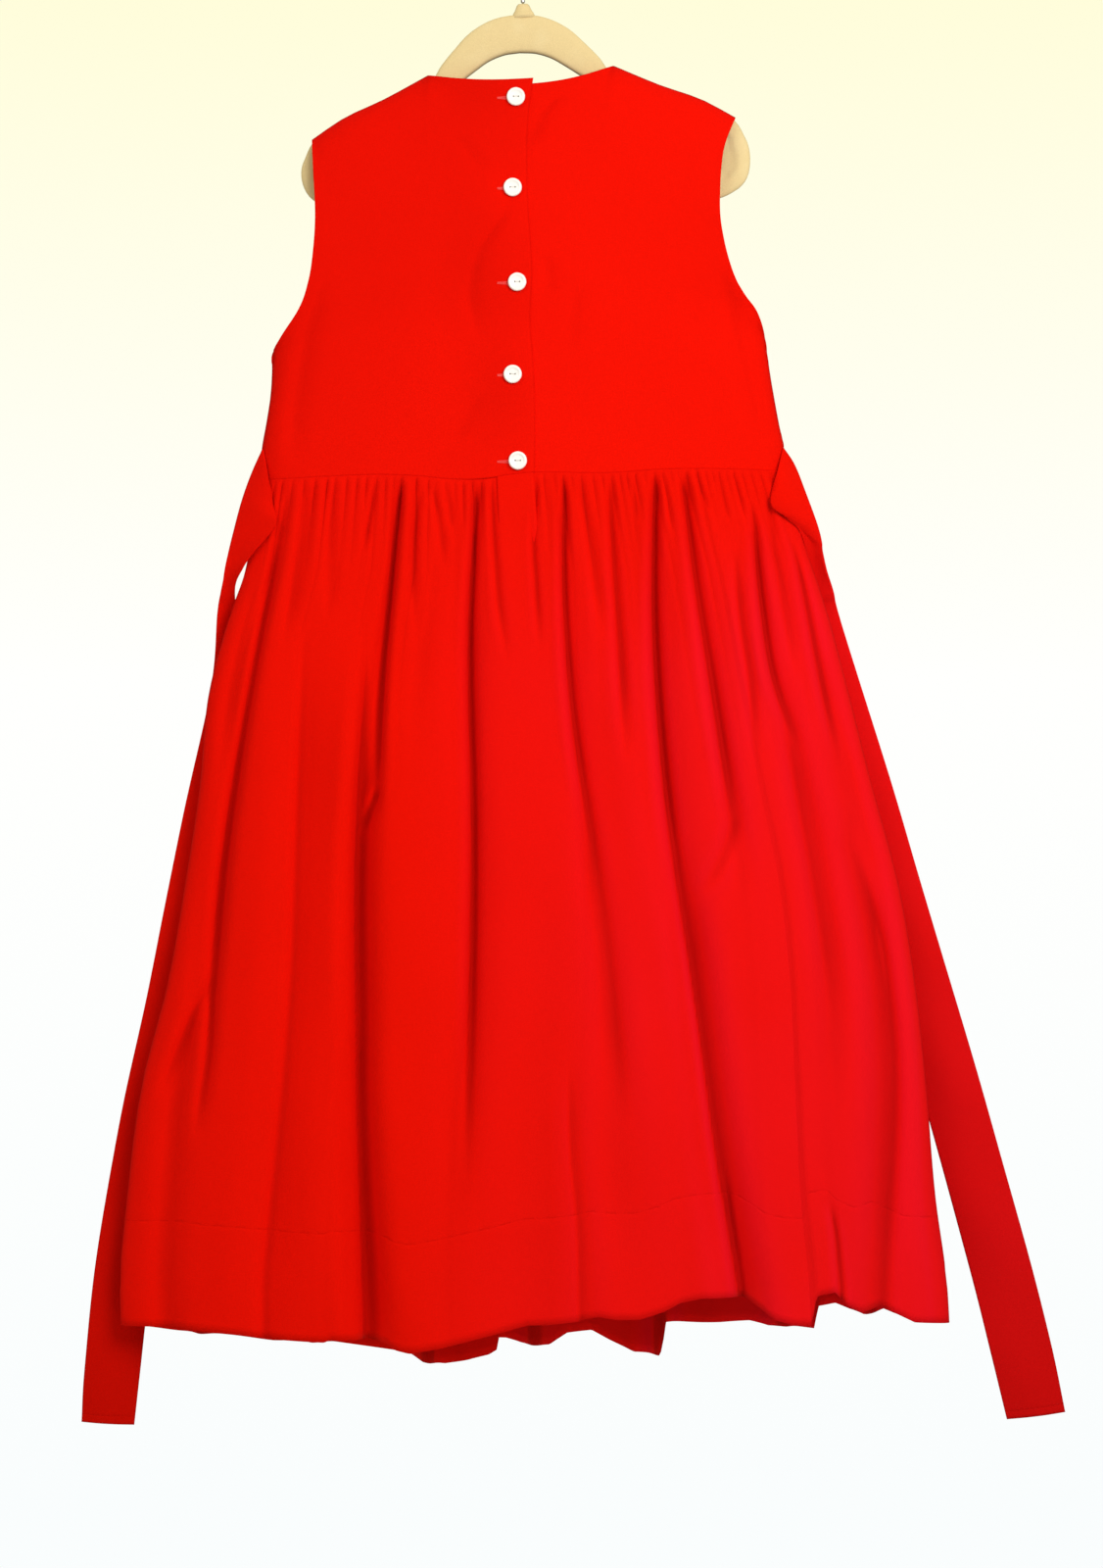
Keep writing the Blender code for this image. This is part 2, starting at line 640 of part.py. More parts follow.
def build_smocked_front(red, neck_from, neck_to):
    """The front panel, with columns at every quarter of a smocking puff."""
    width = BODICE_SIDES[0].right_x - BODICE_SIDES[0].left_x
    step = SMOCK_PITCH_X / COLUMNS_PER_GATHER / width
    middle = 0.5 + step * np.arange(-SMOCK_COLUMNS, SMOCK_COLUMNS + 1)
    side = graded(0.0, middle[0] - step / 2, 4, 1.6)
    corner = np.array(NECK_CORNER_SHARES)
    columns = np.concatenate([side, middle, 1.0 - side, neck_from + corner, neck_to - corner])
    rows = row_heights(FRONT_ROW_STEP, 3)
    cuts = (FRONT_NECK_DROP, FRONT_ARMHOLE_CUT)
    bodice_sheet("bodice_front", np.unique(columns.round(4)), rows, FRONT, *cuts, no_lift, smocking, red)


# Skirt
def gather_stations(count):
    """Phases across a gathered panel and the uneven shares of the width where they lie."""
    edge = np.array(EDGE_PHASES)
    middle = np.arange(1, count * COLUMNS_PER_GATHER) / (count * COLUMNS_PER_GATHER)
    phases = np.concatenate([edge, middle, 1.0 - edge[::-1]])
    return phases, phases + sum(far * np.sin(2 * math.pi * turns * phases) for far, turns in GATHER_WANDER)


def skirt_plan(shares, drops, hem):
    """XZ places of a skirt panel's grid."""
    top = waist_z(shares)[None, :] - SEAM_GAP
    low = np.interp(shares, column(hem, "share"), column(hem, "z"))[None, :]
    z = top * (1 - drops[:, None]) + low * drops[:, None]
    left = read(SKIRT_SIDES[::-1], "z", "left_x", z[:, :1])
    right = read(SKIRT_SIDES[::-1], "z", "right_x", z[:, -1:])
    return np.stack([left + (right - left) * shares[None, :], z], axis=-1)


def skirt_half_depth(plan, drops, full):
    """Depth of the skirt's smooth base form on one side of its side seams."""
    heights = np.linspace(SKIRT_SIDES[0].z, SKIRT_SIDES[-1].z, 24)
    lines = [
        np.stack([read(SKIRT_SIDES[::-1], "z", name, heights), heights], axis=-1)
        for name in ("left_x", "right_x")
    ]
    depths = [closing(distance(plan, line), SIDE_ROUND) for line in lines]
    swell = ramp(drops, -0.02, 0.9)[:, None] ** SWELL_POWER
    depths.append(BODICE_DEPTH + (full - BODICE_DEPTH) * swell + np.zeros(plan.shape[:-1]))
    return soft_least(depths) + SEAM_GAP / 2


def gathers(phases, shares, drops, count, flat):
    """Fine gathers that start at the waist and fade at uneven lengths."""
    below = (drops * (WAIST_Z - HEM_Z))[:, None]
    first, second, third = GATHER_WAVES
    size = 0.75 + 0.25 * np.sin(first * phases) * np.cos(second * phases)
    reach = GATHER_REACH * (0.7 + 0.3 * np.sin(third * phases + 1.0))
    depth = GATHER_DEPTH + GATHER_SWELL * ramp(below, 0.0, GATHER_SWELL_BELOW)
    fade = np.exp(-((below / reach[None, :]) ** 2))
    kept = 1.0 - flat(shares)
    return depth * fade * (size * kept * np.cos(2 * math.pi * count * phases))[None, :]


def folds(plan, shares, drops, table):
    """Depth pressed into a panel by its large folds."""
    pressed = np.zeros(plan.shape[:-1])
    width = plan[:, -1:, 0] - plan[:, :1, 0]
    for fold in table:
        t = drops
        path = fold.waist * (1 - t) * (1 - 2 * t) + fold.middle * 4 * t * (1 - t) + fold.hem * t * (2 * t - 1)
        across = (shares[None, :] - path[:, None]) * width
        grow = ramp(t, fold.start, fold.start + FOLD_GROWTH)
        fade = 1.0 - ramp(t, fold.end - FOLD_FADE, fold.end + FOLD_FADE / 2) if fold.end < 1.0 else 1.0
        spread = fold.half_width * (0.75 + 0.5 * t)[:, None]
        pressed += fold.depth * (grow * fade)[:, None] * np.exp(-((across / spread) ** 2))
    return pressed


def in_placket(shares):
    """1 on the flat strip below the buttons and 0 on the gathered cloth beside it."""
    from_left = ramp(shares, PLACKET_FROM - PLACKET_EDGE, PLACKET_FROM)
    return from_left * ramp(-shares, -PLACKET_TO - PLACKET_EDGE, -PLACKET_TO)


def nowhere(shares):
    return np.zeros_like(shares)


def skirt_points(phases, shares, drops, hem, toward, full, count, flat, table):
    """The middle points of a skirt panel's wall."""
    plan = skirt_plan(shares, drops, hem)
    base = skirt_half_depth(plan, drops, full)
    side = np.minimum(shares, 1.0 - shares)
    kept = ramp(side, 0.0, 0.03)[None, :]
    depth = base + kept * (gathers(phases, shares, drops, count, flat) - folds(plan, shares, drops, table))
    depth = np.maximum(depth, np.minimum(base, LEAST_DEPTH))
    depth[:, [0, -1]] = SEAM_GAP / 2
    return np.stack([plan[..., 0], toward * depth, plan[..., 1]], axis=-1)


def skirt_normals(points, drops, toward):
    normals = surface_normals(points, toward)
    on_seam = np.zeros(points.shape[:2], bool)
    on_seam[:, 0] = True
    on_seam[:, -1] = True
    at_waist = np.zeros(points.shape[:2], bool)
    at_waist[0, :] = True
    flatten_normals(normals, on_seam, 1)
    flatten_normals(normals, at_waist, 2)
    return normals


def build_skirt(red):
    phases, shares = gather_stations(GATHERS_BACK)
    back = (HEM_BACK, BACK, SKIRT_DEPTH_BACK, GATHERS_BACK, in_placket, FOLDS_BACK)
    points = skirt_points(phases, shares, BACK_DROPS, *back)
    sheet("skirt_back", points, skirt_normals(points, BACK_DROPS, BACK), red)
    build_placket(red, points, shares)
    phases, shares = gather_stations(GATHERS_FRONT)
    front = (HEM_FRONT, FRONT, SKIRT_DEPTH_FRONT, GATHERS_FRONT, nowhere, FOLDS_FRONT)
    points = skirt_points(phases, shares, FRONT_DROPS, *front)
    sheet("skirt_front", points, skirt_normals(points, FRONT_DROPS, FRONT), red)


def build_placket(red, points, shares):
    """The flat strip that binds the skirt's opening, made from the skirt's points and moved out."""
    columns = np.where((shares > PLACKET_FROM) & (shares < PLACKET_TO))[0][::2]
    depth = (BACK_DROPS * (WAIST_Z - HEM_Z)).searchsorted(PLACKET_LENGTH)
    strip = points[: depth + 1, columns]
    normals = surface_normals(strip, BACK)
    at_waist = np.zeros(strip.shape[:2], bool)
    at_waist[0, :] = True
    flatten_normals(normals, at_waist, 2)
    sheet("skirt_placket", strip + normals * (WALL + PLACKET_GAP), normals, red)


# Sashes
def build_sash(name, table, red):
    """A tie from its root in the side seam, past one soft fold, to its free end."""
    across = np.linspace(0.0, 1.0, 5)[None, :]
    stations = np.arange(len(table), dtype=float)
    at = np.linspace(0.0, len(table) - 1.0, 2 * len(table) - 1)
    value = {key: smooth(stations, column(table, key), at)[:, None] for key in SashRow._fields}
    x = value["out_x"] + (value["in_x"] - value["out_x"]) * across
    z = value["out_z"] + (value["in_z"] - value["out_z"]) * across
    y = value["out_y"] + (value["in_y"] - value["out_y"]) * across
    y = y + value["fold"] * np.sin(math.pi * across)
    points = np.stack([x, y, z], axis=-1)
    return sheet(name, points, surface_normals(points, BACK), red, thick=SASH_WALL)


# Buttons
def turned(name, profile, segments, made_of):
    """A round piece turned about the Y axis from a profile of radius and depth."""
    bm = bmesh.new()
    verts = [bm.verts.new((radius, depth, 0.0)) for radius, depth in profile]
    edges = [bm.edges.new(pair) for pair in zip(verts[:-1], verts[1:])]
    bmesh.ops.spin(
        bm,
        geom=verts + edges,
        cent=(0.0, 0.0, 0.0),
        axis=(0.0, 1.0, 0.0),
        angle=2 * math.pi,
        steps=segments,
        use_merge=True,
    )
    bmesh.ops.remove_doubles(bm, verts=bm.verts, dist=1e-6)
    return finish(name, bm, made_of)


def button_profile():
    r, t = BUTTON_RADIUS, BUTTON_THICK
    return ((0.0, 0.0), (0.82 * r, 0.0), (r, 0.4 * t), (0.86 * r, t), (0.62 * r, 0.72 * t), (0.0, 0.72 * t))


def back_surface_y(x, z):
    """The outer face of the upper back panel at a place."""
    plan = np.array([[x, z]])
    depth = bodice_half_depth(plan) - bodice_creases(plan) + lap_lift(plan)
    return -float(depth[0]) - WALL / 2


def build_buttons(pearl):
    for number, spot in enumerate(BUTTONS, 1):
        made = turned(f"button_{number}", button_profile(), BUTTON_SEGMENTS, pearl)
        made.rotation_euler = (0.0, 0.0, math.pi)
        rim = [back_surface_y(spot.x + dx, spot.z) for dx in (-BUTTON_RADIUS, 0.0, BUTTON_RADIUS)]
        made.location = (spot.x, min(rim) - SEAM_GAP, spot.z)


# Hanger
def hanger_half():
    """Centre and height of the hanger's band at stations from the arch to the lower bar's middle."""
    rows = list(HANGER_ARCH)
    for x in np.linspace(SHOULDER[0].x, SHOULDER[-1].x - ARM_STOP, 5):
        beside = read(SHOULDER, "x", "z", np.array([x - ARM_STEP, x + ARM_STEP]))
        slope = (beside[1] - beside[0]) / (2 * ARM_STEP)
        down = (WALL / 2 + HANGER_CLEAR + ARM_BAND / 2) * math.hypot(1.0, slope)
        rows.append(Band(x, float(read(SHOULDER, "x", "z", x)) - down, ARM_BAND))
    return rows + list(HANGER_END)


def right_end_drop(band):
    """How much lower the right end and its half of the lower bar hang."""
    return RIGHT_END_DROP * float(ramp(band.x, 0.0, 0.12) * ramp(-band.z, 0.144, 0.165))


def swept(name, path, heights, thick, power, closed, made_of):
    """A band of rounded section along a path in the XZ plane, squarer at powers below 1."""
    along = np.roll(path, -1, axis=0) - np.roll(path, 1, axis=0) if closed else np.gradient(path, axis=0)
    along /= np.linalg.norm(along, axis=1, keepdims=True)
    side = np.stack([-along[:, 1], along[:, 0]], axis=-1)
    angles = 2 * math.pi * (np.arange(SECTION_CORNERS) + 0.5) / SECTION_CORNERS
    out = np.sign(np.cos(angles)) * np.abs(np.cos(angles)) ** power
    deep = np.sign(np.sin(angles)) * np.abs(np.sin(angles)) ** power * thick / 2
    bm = bmesh.new()
    rings = []
    for centre, across, height in zip(path, side, heights):
        plan = centre + np.outer(out * height / 2, across)
        rings.append([bm.verts.new((x, y, z)) for (x, z), y in zip(plan, deep)])
    for a, b in zip(rings, rings[1:] + rings[:1] if closed else rings[1:]):
        for k in range(SECTION_CORNERS):
            after = (k + 1) % SECTION_CORNERS
            bm.faces.new((a[k], a[after], b[after], b[k]))
    if not closed:
        bm.faces.new(rings[0])
        bm.faces.new(rings[-1])
    return finish(name, bm, made_of)


def build_hanger(beige):
    """A flat closed loop with an arch at its neck, arms, round ends and a lower bar."""
    half = hanger_half()
    loop = [Band(b.x, b.z - right_end_drop(b), b.height) for b in half]
    loop += [Band(-b.x, b.z, b.height) for b in half[-2:0:-1]]
    path = np.array([photo_frame(b.x, b.z) for b in loop])
    swept("hanger_body", path, column(loop, "height"), HANGER_THICK, BAND_POWER, True, beige)


def build_neck(beige):
    """The round collar on the arch that carries the hook."""
    profile = (
        (0.0, NECK_FOOT_Z),
        (NECK_FOOT_RADIUS, NECK_FOOT_Z),
        (NECK_TOP_RADIUS, NECK_TOP_Z),
        (0.0, NECK_TOP_Z),
    )
    made = turned("hanger_neck", profile, 12, beige)
    made.rotation_euler = (math.pi / 2, -HANGER_TILT, 0.0)
    x, z = photo_frame(NECK_X, 0.0)
    made.location = (x, 0.0, z)


def build_hook(steel):
    """A round wire hook, from the stem's foot in the hanger's neck round to its free tip."""
    foot_x, foot_z = photo_frame(NECK_X, NECK_TOP_Z + SEAM_GAP)
    angles = np.radians(np.linspace(*HOOK_ANGLES, HOOK_STATIONS))
    radius = HOOK_RADIUS + HOOK_WIRE / 2
    arc = [(radius * math.cos(a), radius * math.sin(a) - HOOK_RADIUS) for a in angles]
    stem = [(foot_x, foot_z), (foot_x * 0.8, foot_z + HOOK_BEND), (STEM_TOP_X, arc[0][1] - HOOK_BEND)]
    path = np.array(stem + arc)
    swept("hanger_hook", path, np.full(len(path), HOOK_WIRE), HOOK_WIRE, 1.0, False, steel)


def build():
    for old in list(bpy.data.objects):
        bpy.data.objects.remove(old, do_unlink=True)
    red = material("red_cotton", RED, 0.75)
    pearl = material("pearl_plastic", PEARL, 0.25)
    beige = material("beige_flock", BEIGE, 0.95)
    steel = material("hook_steel", STEEL, 0.35, 1.0)
    build_bodice(red)
    build_skirt(red)
    build_sash("sash_left", SASH_LEFT, red)
    build_sash("sash_right", SASH_RIGHT, red)
    build_buttons(pearl)
    build_hanger(beige)
    build_neck(beige)
    build_hook(steel)


build()
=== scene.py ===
"""A child's smocked dress on its hanger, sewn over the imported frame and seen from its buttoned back."""

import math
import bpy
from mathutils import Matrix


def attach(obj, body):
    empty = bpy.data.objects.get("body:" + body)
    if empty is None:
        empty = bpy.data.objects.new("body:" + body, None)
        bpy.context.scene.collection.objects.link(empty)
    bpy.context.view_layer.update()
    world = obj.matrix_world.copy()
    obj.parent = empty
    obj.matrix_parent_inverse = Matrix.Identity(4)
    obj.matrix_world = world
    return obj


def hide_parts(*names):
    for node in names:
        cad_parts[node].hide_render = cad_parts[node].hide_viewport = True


bl_info = {
    "name": "Smocked Dress",
    "version": (1, 0, 0),
    "blender": (4, 5, 0),
    "location": "View3D > Sidebar > Dress",
    "description": "Sews a smocked dress over its frame, hangs it up and lights it",
    "category": "Add Mesh",
}

from collections import namedtuple

import bmesh
import bpy
import numpy as np
from bpy.props import FloatProperty, FloatVectorProperty, IntProperty, PointerProperty
from bpy.types import Operator, Panel, PropertyGroup
from mathutils import Matrix, Vector

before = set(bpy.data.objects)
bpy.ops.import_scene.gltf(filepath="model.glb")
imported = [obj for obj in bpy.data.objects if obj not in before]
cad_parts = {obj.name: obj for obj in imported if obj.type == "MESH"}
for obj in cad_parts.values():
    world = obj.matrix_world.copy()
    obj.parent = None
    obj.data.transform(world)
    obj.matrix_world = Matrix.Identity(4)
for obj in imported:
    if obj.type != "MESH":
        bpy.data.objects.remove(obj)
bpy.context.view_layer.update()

# Sizes of the pieces, in metres
SEAM_GAP = 0.0003
SIDE_ROUND = 0.0045
SHOULDER_ROUND = 0.0050
SIDE_SLOPE = 0.36
CLOSE_POWER = 3.0
HANGER_TILT = math.radians(3.0)
HANGER_SHIFT = -0.0072
RIGHT_END_DROP = 0.0055
HANGER_THICK = 0.0060
LOBE_RIM = 0.0092
LOBE_START = (0.122, 0.128)
LOBE_THINNED = 0.5
ARCH_SHADE = (-0.062, -0.050)
COLLAR_FLAT = 0.46
HANGER_CLEAR = 0.0019
ARM_BAND = 0.0114
HOOK_WIRE = 0.0026
HOOK_RADIUS = 0.0205
NECK_FOOT_Z = -0.0617
NECK_TOP_Z = -0.0552
NECK_X = 0.0036
BODICE_DEPTH = 0.0150
UNDERARM_SHARE = 0.40
LAP_EDGE_X = 0.0065
UNDERLAP_X = -0.0185
LAP_RAMP = 0.030
LAP_LIFT = 0.00092
BACK_NECK_DROP = 0.0072
LAP_NECK_STEP = 0.0033
FRONT_NECK_DROP = 0.0400
FRONT_ARMHOLE_CUT = 0.0035
WAIST_Z = -0.3535
HEM_Z = -0.8750
SKIRT_DEPTH_BACK = 0.0440
SKIRT_DEPTH_FRONT = 0.0400
PLACKET_FROM = 0.447
PLACKET_TO = 0.527
PLACKET_DROP = 0.178
BUTTON_RADIUS = 0.0058
BUTTON_THICK = 0.0028
HOLE_LEFT_X = -0.0159
LEAST_DEPTH = 0.00055
BACK = -1.0
FRONT = 1.0

# How the cloth's edges, folds, gathers, creases and smocking are shaped
NECK_POWER = 2.4
SWELL_POWER = 0.8
SEAM_KEEP = 0.004
PLACKET_EDGE = 0.006
FOLD_GROWTH = 0.22
FOLD_FADE = 0.12
LIP_SHARE = 0.20
LIP_REACH = 2.0
LIP_WIDTH = 1.1
WIDEST_PUFF = 0.0085
BACK_FOLD_SHARE = 0.45
FRONT_FOLD_SHARE = 0.50
DIAMOND = 0.0168
STITCH_HOLD = 0.0026
SMOCK_REACH = 0.112
SMOCK_SEWN_REACH = 0.096
CREASE_START = (-0.10, 0.22)
CREASE_END = (0.70, 1.10)
SKIRT_TOP_FREE = -0.366
SKIRT_LOW_FREE = -0.855
BODICE_TOP_FREE = -0.100
BODICE_LOW_FREE = -0.360
SKIRT_EDGE_SHARE = 0.028
SKIRT_CROWDED_SHARE = 0.024
WAIST_SEWN = 0.0035
FOLDS_BEGIN = (0.0005, 0.018)
PLACKET_PROUD = 0.0012
PLACKET_TURNED = 0.0005
RIPPLES = (0.00045, 0.00022)
SMOCK_TOP = -0.146
SMOCK_FOOT = -0.350
TIE_FREE_ROW = 8.0

# Stitches: each one's length and width
SMOCK_STITCH_WIDE = 0.0009
TIE_STITCH = (0.0034, 0.00045)
HOLE_STITCH = (0.0013, 0.00040)
BAR_STITCH = (0.0013, 0.00042)

# The stage, whose lamps each have a name, a place, an aim, a size, a power and a colour
CAMERA_PLACE = (0.0173, -2.4, -0.546)
CAMERA_LENS = 87.5
FLOOR_Z = -1.50
FLOOR_RADIUS = 2.0
ROOM_LIGHT = 0.465
LAMPS = (
    ("key_softbox", (0.55, -1.15, 0.0), (0.08, 0.0, -0.48), 0.8, 13.8, (1.0, 0.98, 0.95)),
    ("fill_softbox", (-0.9, -1.3, 0.35), (-0.05, 0.0, -0.4), 1.0, 6.5, (1.0, 0.97, 0.90)),
)


def rows_of(kind, *rows):
    """A table of rows with named columns."""
    return tuple(kind(*row) for row in rows)


# Side seams and armholes, from the waist up to the shoulder tips
Side = namedtuple("Side", "share left_x left_z right_x right_z")
BODICE_SIDES = rows_of(
    Side,
    (0, -0.165, -0.3554, 0.163, -0.3498), (0.08, -0.165, -0.3381, 0.1635, -0.3356),
    (0.18, -0.1617, -0.3178, 0.1604, -0.3208), (0.27, -0.1592, -0.3011, 0.1573, -0.3042),
    (0.34, -0.1583, -0.2869, 0.1542, -0.2857), (0.4, -0.158, -0.2746, 0.1512, -0.2635),
    (0.45, -0.1524, -0.2653, 0.1468, -0.2511), (0.52, -0.1419, -0.2499, 0.1388, -0.24),
    (0.62, -0.1351, -0.2314, 0.1314, -0.2264), (0.72, -0.132, -0.211, 0.1253, -0.2048),
    (0.82, -0.1308, -0.1882, 0.1228, -0.182), (0.91, -0.132, -0.1635, 0.125, -0.15),
)

# The shoulder ridge from neck to tip, in the hanger's own frame
Ridge = namedtuple("Ridge", "x z")
SHOULDER = rows_of(
    Ridge,
    (0.0587, -0.0975), (0.0865, -0.1108), (0.1147, -0.1225), (0.1334, -0.134),
)

# Half of the hanger's band, from the arch's middle to the lower bar's middle, in its own frame
Band = namedtuple("Band", "x z height")
HANGER_ARCH = rows_of(
    Band,
    (0, -0.0737, 0.0244), (0.012, -0.0752, 0.0238), (0.024, -0.0803, 0.022), (0.0345, -0.0885, 0.0192),
    (0.0435, -0.0965, 0.0165), (0.051, -0.1036, 0.013),
)
HANGER_END = rows_of(
    Band,
    (0.131, -0.148, 0.0174), (0.1316, -0.1566, 0.0198), (0.1297, -0.1634, 0.019), (0.1236, -0.1692, 0.0156),
    (0.1, -0.175, 0.01), (0.05, -0.176, 0.0098), (0, -0.176, 0.0098),
)

# The waist seam dips a little where the cloth sags between its stitches
Dip = namedtuple("Dip", "x z")
WAIST_DIPS = rows_of(
    Dip,
    (-0.17, 0), (-0.062, 0), (-0.047, -0.0018), (-0.024, -0.0018), (-0.008, 0.0004), (0.06, 0.0006),
    (0.08, 0.0018), (0.15, 0.0008), (0.17, 0),
)

# The skirt's two side seams
SkirtSide = namedtuple("SkirtSide", "z left_x right_x")
SKIRT_SIDES = rows_of(
    SkirtSide,
    (-0.353, -0.165, 0.163), (-0.395, -0.172, 0.176), (-0.414, -0.1757, 0.1827), (-0.435, -0.1832, 0.1895),
    (-0.489, -0.1981, 0.204), (-0.546, -0.2036, 0.2184), (-0.608, -0.2129, 0.2352),
    (-0.674, -0.2246, 0.2462), (-0.731, -0.2394, 0.2524), (-0.809, -0.2499, 0.2591),
    (-0.86, -0.2542, 0.266), (-0.89, -0.2535, 0.2678),
)

# The two hems: heights at shares of the width from the left side seam
Hem = namedtuple("Hem", "share z")
HEM_BACK = rows_of(
    Hem,
    (0, -0.8865), (0.025, -0.8858), (0.073, -0.8854), (0.103, -0.8869), (0.147, -0.8881), (0.2, -0.8916),
    (0.25, -0.8922), (0.256, -0.8902), (0.296, -0.8916), (0.322, -0.894), (0.335, -0.8976),
    (0.351, -0.8991), (0.387, -0.8955), (0.451, -0.8871), (0.491, -0.8815), (0.517, -0.8812),
    (0.553, -0.8786), (0.575, -0.8758), (0.596, -0.8776), (0.625, -0.8776), (0.654, -0.8727),
    (0.673, -0.8673), (0.699, -0.8645), (0.735, -0.8645), (0.752, -0.8661), (0.771, -0.8727),
    (0.785, -0.8786), (0.807, -0.8815), (0.83, -0.8823), (0.836, -0.8642), (0.859, -0.862),
    (0.873, -0.8703), (0.892, -0.8751), (0.903, -0.8742), (0.915, -0.8721), (0.937, -0.878),
    (0.956, -0.8828), (1, -0.885),
)
HEM_FRONT = rows_of(
    Hem,
    (0, -0.8868), (0.086, -0.8941), (0.18, -0.9002), (0.252, -0.9021), (0.324, -0.9077), (0.346, -0.9096),
    (0.363, -0.914), (0.389, -0.9159), (0.416, -0.914), (0.443, -0.9109), (0.453, -0.9077),
    (0.455, -0.8999), (0.464, -0.8999), (0.483, -0.9027), (0.517, -0.9038), (0.539, -0.8968),
    (0.569, -0.8952), (0.591, -0.9015), (0.61, -0.9062), (0.621, -0.9093), (0.651, -0.9101),
    (0.656, -0.9058), (0.658, -0.889), (0.726, -0.8895), (0.763, -0.8887), (0.786, -0.8915),
    (0.801, -0.8906), (0.841, -0.8924), (0.846, -0.8783), (0.867, -0.8764), (0.884, -0.8801),
    (0.902, -0.8827), (0.924, -0.8786), (0.944, -0.8827), (0.961, -0.8865), (1, -0.8848),
)

# Large folds that the solids have: valleys as shares of a panel's width and height, with sizes in metres
Fold = namedtuple("Fold", "waist middle hem start end depth half_width")
FOLDS_BACK = rows_of(
    Fold,
    (0.04, 0.046, 0.06, 0.02, 1, 0.01, 0.0085), (0.12, 0.16, 0.19, 0.18, 0.95, 0.006, 0.017),
    (0.262, 0.255, 0.23, 0.03, 0.45, 0.009, 0.0075), (0.235, 0.243, 0.318, 0.3, 1, 0.018, 0.014),
    (0.34, 0.335, 0.36, 0.02, 0.3, 0.005, 0.008), (0.41, 0.408, 0.422, 0.02, 0.85, 0.013, 0.012),
    (0.577, 0.573, 0.56, 0.02, 0.52, 0.009, 0.0085), (0.63, 0.598, 0.625, 0.15, 0.95, 0.008, 0.013),
    (0.675, 0.64, 0.64, 0.02, 0.35, 0.005, 0.008), (0.756, 0.69, 0.755, 0.02, 1, 0.016, 0.013),
    (0.817, 0.778, 0.74, 0.02, 0.5, 0.009, 0.0085), (0.9, 0.893, 0.88, 0.03, 0.75, 0.01, 0.0095),
    (0.95, 0.93, 0.925, 0.02, 0.3, 0.005, 0.008), (0.975, 0.96, 0.935, 0.1, 1, 0.0085, 0.011),
    (0.5, 0.51, 0.5, 0.45, 1, 0.007, 0.018),
)
FOLDS_FRONT = rows_of(
    Fold,
    (0.09, 0.08, 0.07, 0.05, 1, 0.009, 0.012), (0.19, 0.2, 0.18, 0.05, 1, 0.013, 0.014),
    (0.3, 0.29, 0.28, 0.03, 0.6, 0.009, 0.01), (0.38, 0.37, 0.39, 0.1, 1, 0.014, 0.014),
    (0.5, 0.51, 0.5, 0.05, 1, 0.012, 0.014), (0.61, 0.62, 0.6, 0.05, 0.65, 0.009, 0.011),
    (0.68, 0.7, 0.705, 0.15, 1, 0.013, 0.014), (0.8, 0.81, 0.83, 0.05, 1, 0.013, 0.014),
    (0.91, 0.92, 0.925, 0.05, 1, 0.009, 0.012),
)

